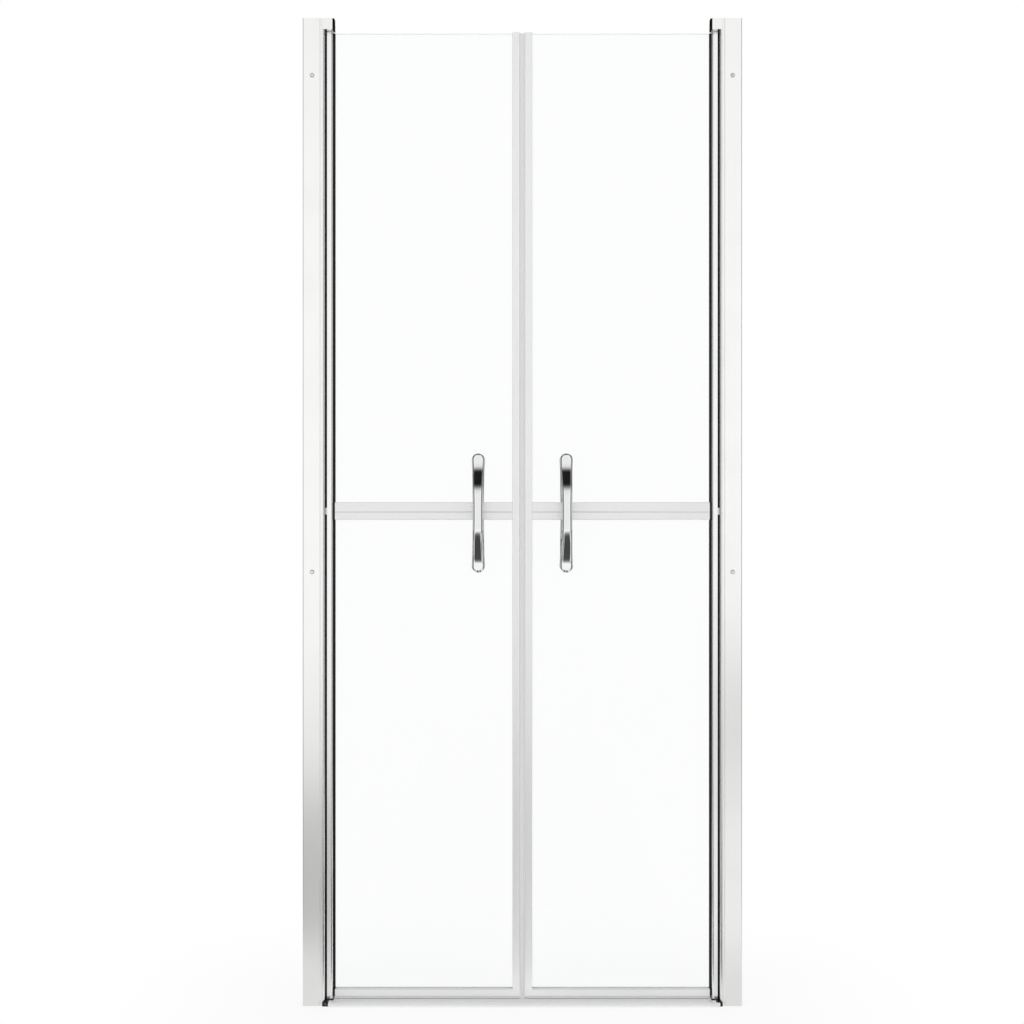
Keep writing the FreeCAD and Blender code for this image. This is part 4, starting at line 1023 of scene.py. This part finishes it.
    def closing_seal(self) -> None:
        """Build the closing edge: a clear carrier with soft lips, and the magnetic strip in it."""
        low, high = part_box(self.node("magnet_carrier"))
        rail_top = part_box(self.node("bottom_rail"))[1].z
        near, far = self.offs("magnet_carrier")
        stile_face = self.offs("meeting_stile")[0]
        neck_off = stile_face + self.closing_root
        lip = -self.closing_lip
        half = [
            (far, -self.closing_head), (neck_off, -self.closing_head),
            (neck_off, -self.closing_neck), (stile_face, -self.closing_neck),
            (stile_face, lip + self.closing_bevel), (stile_face - self.closing_bevel, lip),
            *((near, lip + rim) for rim in self.closing_rims),
        ]
        outline = rounded(self.mirrored(both_halves(half)), self.closing_round, steps=3)
        carrier = Strip(self.node("closing_seal_carrier"), outline, Run.UPRIGHT, SEAL_VINYL,
                        self.leaf, [(rail_top, high.z)]).build()
        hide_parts(self.node("magnet_carrier"))
        foot = both_halves([(stile_face, lip), (near, lip)])
        Strip(self.node("closing_seal_foot"), rounded(self.mirrored(foot), self.foot_round),
              Run.UPRIGHT, SEAL_VINYL, self.leaf, [(low.z, rail_top)]).build()
        strip_near, strip_far = self.offs("magnet_strip")
        section = both_halves([(strip_far, -self.magnet_half), (strip_near, -self.magnet_half)])
        lengths = [(low.z, self.magnet_joint - self.magnet_gap),
                   (self.magnet_joint + self.magnet_gap, high.z)]
        magnet = Strip(self.node("magnetic_closing_strip"),
                       rounded(self.mirrored(section), self.magnet_round),
                       Run.UPRIGHT, MAGNET_RUBBER, self.leaf, lengths).build()
        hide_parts(self.node("magnet_strip"))


@dataclass
class BowHandle(SidePart):
    """A bow handle of flat bar, bent in soft curves, with a narrow grip between two round ends."""

    face: Face
    gauge: float = 8.0 * MM
    grip_half: float = 9.5 * MM
    bend_radius: float = 40.0 * MM
    slope_turn: float = math.radians(38.0)
    slope_middle: float = 65.0 * MM
    edge_reach: float = 5.0 * MM
    tip_gap: float = 0.05 * MM
    bend_steps: int = 20
    columns: int = 24

    def build(self) -> None:
        """Build the handle in the CAD handle's place and hide the CAD handle."""
        node = self.node(f"{self.face.label}_handle")
        low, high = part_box(node)
        seat, top = sorted((abs(low.y), abs(high.y)))
        middle = (low + high) / 2
        half_length, end_radius = (high.z - low.z) / 2, (high.x - low.x) / 2
        corners: list[Spot] = []
        for out, up, turn in self._stations(top - seat, half_length):
            for across, rise in self._ring(up, half_length, end_radius):
                corners.append((
                    middle.x + across,
                    (seat + out + rise * math.cos(turn)) * self.face.value,
                    middle.z + up + rise * math.sin(turn),
                ))
        count = self.columns * 2
        faces = [tuple(range(count)), tuple(range(len(corners) - count, len(corners)))]
        for first in range(0, len(corners) - count, count):
            faces += sleeve(first, first + count, count)
        handle = make_piece(f"bow_{node}", corners, faces, HANDLE_CHROME, self.leaf)
        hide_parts(node)

    def _stations(self, rise: float, half_length: float) -> list[Spot]:
        """The bar's middle line, from the lower tip to the upper one.

        Args:
            rise: how far the handle stands out from its seat.
            half_length: from its middle to a tip.

        Returns:
            For each station the distance out, the height above the middle and the tilt.
        """
        radius, turn, steps = self.bend_radius, self.slope_turn, self.bend_steps
        grip_out, end_out = rise - self.gauge / 2, self.gauge / 2
        straight = (grip_out - end_out - radius * (1 - math.cos(turn)) * 2) / math.sin(turn)
        reach = radius * math.sin(turn) + straight * math.cos(turn) / 2
        start, stop = self.slope_middle - reach, self.slope_middle + reach
        tilts = [turn * step / steps for step in range(steps + 1)]
        line = [(grip_out, start * step / steps, 0.0) for step in range(1, steps)]
        line += [(grip_out - radius * (1 - math.cos(tilt)), start + radius * math.sin(tilt), tilt)
                 for tilt in tilts]
        line += [(end_out + radius * (1 - math.cos(tilt)), stop - radius * math.sin(tilt), tilt)
                 for tilt in reversed(tilts)]
        tip = half_length - self.tip_gap
        line += [(end_out, stop + (tip - stop) * math.sin(math.pi / 2 * step / steps), 0.0)
                 for step in range(1, steps + 1)]
        lower = [(out, -up, -tilt) for out, up, tilt in reversed(line)]
        return lower + [(grip_out, 0.0, 0.0)] + line

    def _ring(self, up: float, half_length: float, end_radius: float) -> list[Point]:
        """The bar's section at one height, round at its edges.

        Args:
            up: the height above the handle's middle.
            half_length: from its middle to a tip.
            end_radius: the radius of its round ends.

        Returns:
            The distance across and the distance from the middle line for each corner.
        """
        centre = half_length - end_radius
        reach = self.grip_half**2 + centre**2 - end_radius**2
        hollow = reach / ((end_radius - self.grip_half) * 2)
        beyond = abs(up) - centre
        if abs(up) <= centre * hollow / (end_radius + hollow):
            width = self.grip_half + hollow - math.sqrt(hollow**2 - up**2)
        else:
            width = math.sqrt(max(end_radius**2 - beyond**2, 0.0))
        front: list[Point] = []
        for column in range(self.columns + 1):
            across = width * math.sin(math.pi / 2 * (column * 2 / self.columns - 1))
            if beyond > 0:
                inset = end_radius - math.hypot(across, beyond)
            else:
                inset = width - abs(across)
            slack = 1 - min(max(inset, 0.0), self.edge_reach) / self.edge_reach
            front.append((across, self.gauge / 2 * math.sqrt(1 - slack**2)))
        return front + [(across, -rise) for across, rise in reversed(front[1:-1])]


@dataclass
class Threshold:
    """The low strip on the tray and the tape under it."""

    edge_round: float = 0.3 * MM
    tape_width: float = 9.0 * MM

    def build(self) -> None:
        """Finish the strip and build the two tapes that hold it."""
        finish_node("threshold", SILL_ALUMINIUM)
        low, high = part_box("threshold_tape")
        for name, near in (("outer", low.y), ("inner", high.y - self.tape_width)):
            far = near + self.tape_width
            section = [(near, low.z), (far, low.z), (far, high.z), (near, high.z)]
            outline = rounded(section, self.edge_round, steps=3)
            Strip(f"threshold_bedding_{name}", outline, Run.LEVEL, TAPE_BUTYL,
                               "frame", [(low.x, high.x)]).build()
        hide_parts("threshold_tape")


@dataclass(frozen=True)
class FloorGrading:
    """Painted reflections: how bright the floor is to the metal that mirrors it, graded by place
    for glossy rays only.

    A span is where a smooth step starts and ends, and a band is a step up and a step down, in
    metres from the door's middle.
    """

    base: float = 0.75
    middle: Span = (0.1, 0.5)
    middle_rise: float = 0.13
    distance: Span = (2.5, 7.0)
    distance_rise: float = 0.12
    fore_depth: Span = (0.08, 0.25)
    fore_width: Span = (0.345, 0.385)
    fore_rise: float = 0.2
    left_depth: Band = (0.2, 0.5, 1.2, 2.4)
    left_width: Span = (-0.6, 0.0)
    left_shade: float = 0.37
    right_depth: Band = (1.6, 2.6, 4.0, 8.0)
    right_width: Span = (0.0, 0.6)
    right_shade: float = 0.20
    flank_slope: float = 0.45
    flank: Span = (0.55, 0.95)
    flank_shade: float = 0.8
    side_slope: float = 0.35
    side: Span = (0.1, 0.6)
    side_lift: float = 0.45
    painted_patch_width: Band = (0.045, 0.06, 0.34, 0.375)
    painted_patch_depth: Band = (0.10, 0.14, 0.9, 4.5)
    painted_patch_shade: float = 0.92

    def level(self, across: Value, along: Value) -> Value:
        """Reckon how bright each place on the floor is.

        Args:
            across: places along X, in metres.
            along: places along Y, in metres.

        Returns:
            The brightness, with two painted dark reflection patches under the handles and a
            painted shaded stretch on the left.
        """
        ahead = 0.0 - along
        base = (self.base + ahead.fade(*self.middle) * self.middle_rise
                + ahead.fade(*self.distance) * self.distance_rise)
        left = ahead.band(*self.left_depth) * (1.0 - across.fade(*self.left_width))
        right = ahead.band(*self.right_depth) * across.fade(*self.right_width)
        fore = ((1.0 - ahead.fade(*self.fore_depth))
                * (1.0 - abs(across).fade(*self.fore_width)))
        flanks = (abs(across) - abs(along) * self.flank_slope).fade(*self.flank)
        sides = (abs(across) * self.side_slope - abs(along)).fade(*self.side)
        # Painted dark reflection patches under the handles, seen only in the metal.
        painted_dark_patches = abs(across).band(*self.painted_patch_width) * abs(along).band(*self.painted_patch_depth)
        level = (base + fore * self.fore_rise
                 - left * self.left_shade - right * self.right_shade)
        return (level * (1.0 - flanks * (self.flank_shade - sides * self.side_lift))
                * (1.0 - painted_dark_patches * self.painted_patch_shade))


@dataclass(frozen=True)
class SkyGrading:
    """How bright the surroundings are to the metal that mirrors them.

    Each span is where a smooth step starts and ends, along one axis of the direction.
    """

    rise: Span = (0.15, 0.45)
    rise_shade: float = 0.07
    gap: Span = (0.03, 0.13)
    gap_shade: float = 0.10
    flank: Span = (0.42, 0.55)
    flank_shade: float = 0.93
    side: Span = (0.72, 0.96)
    side_lift: float = 0.5
    rear: Span = (0.3, 0.6)
    rear_width: Span = (0.15, 0.4)
    rear_shade: float = 0.7
    ceiling: Span = (0.44, 0.96)
    ceiling_width: Span = (0.15, 0.5)
    ceiling_lift: float = 0.25
    ceiling_shade: float = 0.985

    def level(self, across: Value, along: Value, upward: Value) -> Value:
        """Reckon how bright each direction is.

        Args:
            across: the direction's X.
            along: its Y.
            upward: its Z.

        Returns:
            The brightness, with dark flags at the sides, behind the door and overhead.
        """
        width = abs(across)
        front = (1.0 - upward.fade(*self.rise) * self.rise_shade
                 - (1.0 - width.fade(*self.gap)) * self.gap_shade)
        flanks = width.fade(*self.flank) * (
            self.flank_shade - width.fade(*self.side) * self.side_lift
        )
        behind = along.fade(*self.rear) * width.fade(*self.rear_width)
        ceiling = upward.fade(*self.ceiling) * (
            1.0 - across.fade(*self.ceiling_width) * self.ceiling_lift
        )
        return (front * (1.0 - flanks) * (1.0 - behind * self.rear_shade)
                * (1.0 - ceiling * self.ceiling_shade))


@dataclass
class Studio:
    """The pale floor, the soft lamps, the white surroundings and the camera."""

    camera_place: Spot = (-0.020, -2.320, 0.950)
    lens: float = 42.05
    sensor: float = 36.0
    clip_end: float = 60.0
    floor_size: float = 44.0
    floor_sink: float = 0.0005
    floor_white: float = 0.86
    speckle_scale: float = 90.0
    speckle_white: float = 0.97
    shadow_depth: Span = (0.03, 0.55)
    shadow_width: Span = (0.44, 0.9)
    shadow_share: float = 0.14
    ambient: float = 0.86
    lamp_size: float = 2.4
    lamp_aim: Spot = (0.0, 0.0, 0.9)
    lamps: tuple[tuple[str, Spot, float], ...] = (
        ("key softbox", (-1.8, -2.6, 2.8), 14.0),
        ("fill softbox", (2.2, -2.4, 1.9), 9.0),
        ("back softbox", (0.6, 2.8, 2.8), 16.0),
    )

    def build(self) -> None:
        """Set up everything around the door."""
        bpy.context.scene.view_settings.view_transform = "Standard"
        self.camera()
        self.floor()
        self.world()
        for lamp in self.lamps:
            self.lamp(*lamp)

    def camera(self) -> None:
        """Place the camera square to the door, where the photograph was taken from."""
        data = bpy.data.cameras.new("photo camera")
        data.lens = self.lens
        data.sensor_width = self.sensor
        data.clip_end = self.clip_end
        camera = placed("photo camera", data)
        camera.location = self.camera_place
        camera.rotation_euler = (math.radians(90.0), 0.0, 0.0)
        bpy.context.scene.camera = camera

    def floor(self) -> None:
        """Lay a pale floor that reads white and keeps the door's shadow, with painted reflections
        graded in for the metal.
        """
        half = self.floor_size / 2
        mesh = bpy.data.meshes.new("studio_floor")
        corners = [(-half, -half, 0.0), (half, -half, 0.0), (half, half, 0.0), (-half, half, 0.0)]
        mesh.from_pydata(corners, [], [(0, 1, 2, 3)])
        floor = placed("studio_floor", mesh)
        floor.location.z = -self.floor_sink
        material = bpy.data.materials.new("pale studio floor")
        material.use_nodes = True
        shader = Shader(material.node_tree)
        speckle = shader.noise(self.speckle_scale)
        pale = shader.tint(
            speckle, grey(self.floor_white), grey(self.floor_white * self.speckle_white)
        )
        matt = shader.node("ShaderNodeBsdfDiffuse", {}, {"Color": pale})
        glow = shader.node("ShaderNodeEmission", {}, {"Color": WHITE})
        dark = shader.node("ShaderNodeEmission", {}, {"Color": BLACK})
        path = shader.node("ShaderNodeLightPath")
        across, along, _ = shader.axes("Object")
        seen = shader.value(path, "Is Camera Ray") + shader.value(path, "Is Transmission Ray")
        near = ((1.0 - abs(along).fade(*self.shadow_depth))
                * (1.0 - abs(across).fade(*self.shadow_width)))
        plain = shader.mix(seen * (1.0 - near * self.shadow_share), matt, glow)
        # Painted reflections: glossy rays see a graded emission instead of the lit floor.
        graded = shader.mix(FloorGrading().level(across, along), dark, glow)
        shader.surface(shader.mix(shader.value(path, "Is Glossy Ray"), plain, graded))
        mesh.materials.append(material)

    def world(self) -> None:
        """Surround the door with white, with dark flags for the bright metal to mirror."""
        world = bpy.data.worlds.new("white studio")
        bpy.context.scene.world = world
        world.use_nodes = True
        shader = Shader(world.node_tree)
        path = shader.node("ShaderNodeLightPath")
        seen = shader.value(path, "Is Camera Ray") + shader.value(path, "Is Transmission Ray")
        glossy = shader.value(path, "Is Glossy Ray")
        dome = SkyGrading().level(*shader.axes("Generated"))
        share = seen + (1.0 - seen) * (glossy * dome + (1.0 - glossy) * self.ambient)
        black = shader.node("ShaderNodeBackground", {}, {"Color": BLACK})
        white = shader.node("ShaderNodeBackground", {}, {"Color": WHITE})
        mixed = shader.mix(share, black, white)
        shader.node("ShaderNodeOutputWorld", {}, {"Surface": mixed.outputs[0]})

    def lamp(self, name: str, place: Spot, power: float) -> None:
        """Hang one square softbox; the metal mirrors the surroundings in its place.

        Args:
            name: the lamp's name.
            place: where it hangs.
            power: its power in watts.
        """
        data = bpy.data.lights.new(name, "AREA")
        data.shape = "SQUARE"
        data.size = self.lamp_size
        data.energy = power
        lamp = placed(name, data)
        lamp.location = place
        way = Vector(self.lamp_aim) - Vector(place)
        lamp.rotation_euler = way.to_track_quat("-Z", "Y").to_euler()
        lamp.visible_glossy = False


def main() -> None:
    """Build the door's sub-assemblies in order, then the studio."""
    logging.basicConfig(level=logging.INFO, format="%(message)s")
    for side in Side:
        WallSide(side).build()
        Leaf(side).build()
        for face in Face:
            BowHandle(side, face).build()
    Threshold().build()
    Studio().build()
    LOG.info("the door is dressed")


if __name__ == "__main__":
    main()
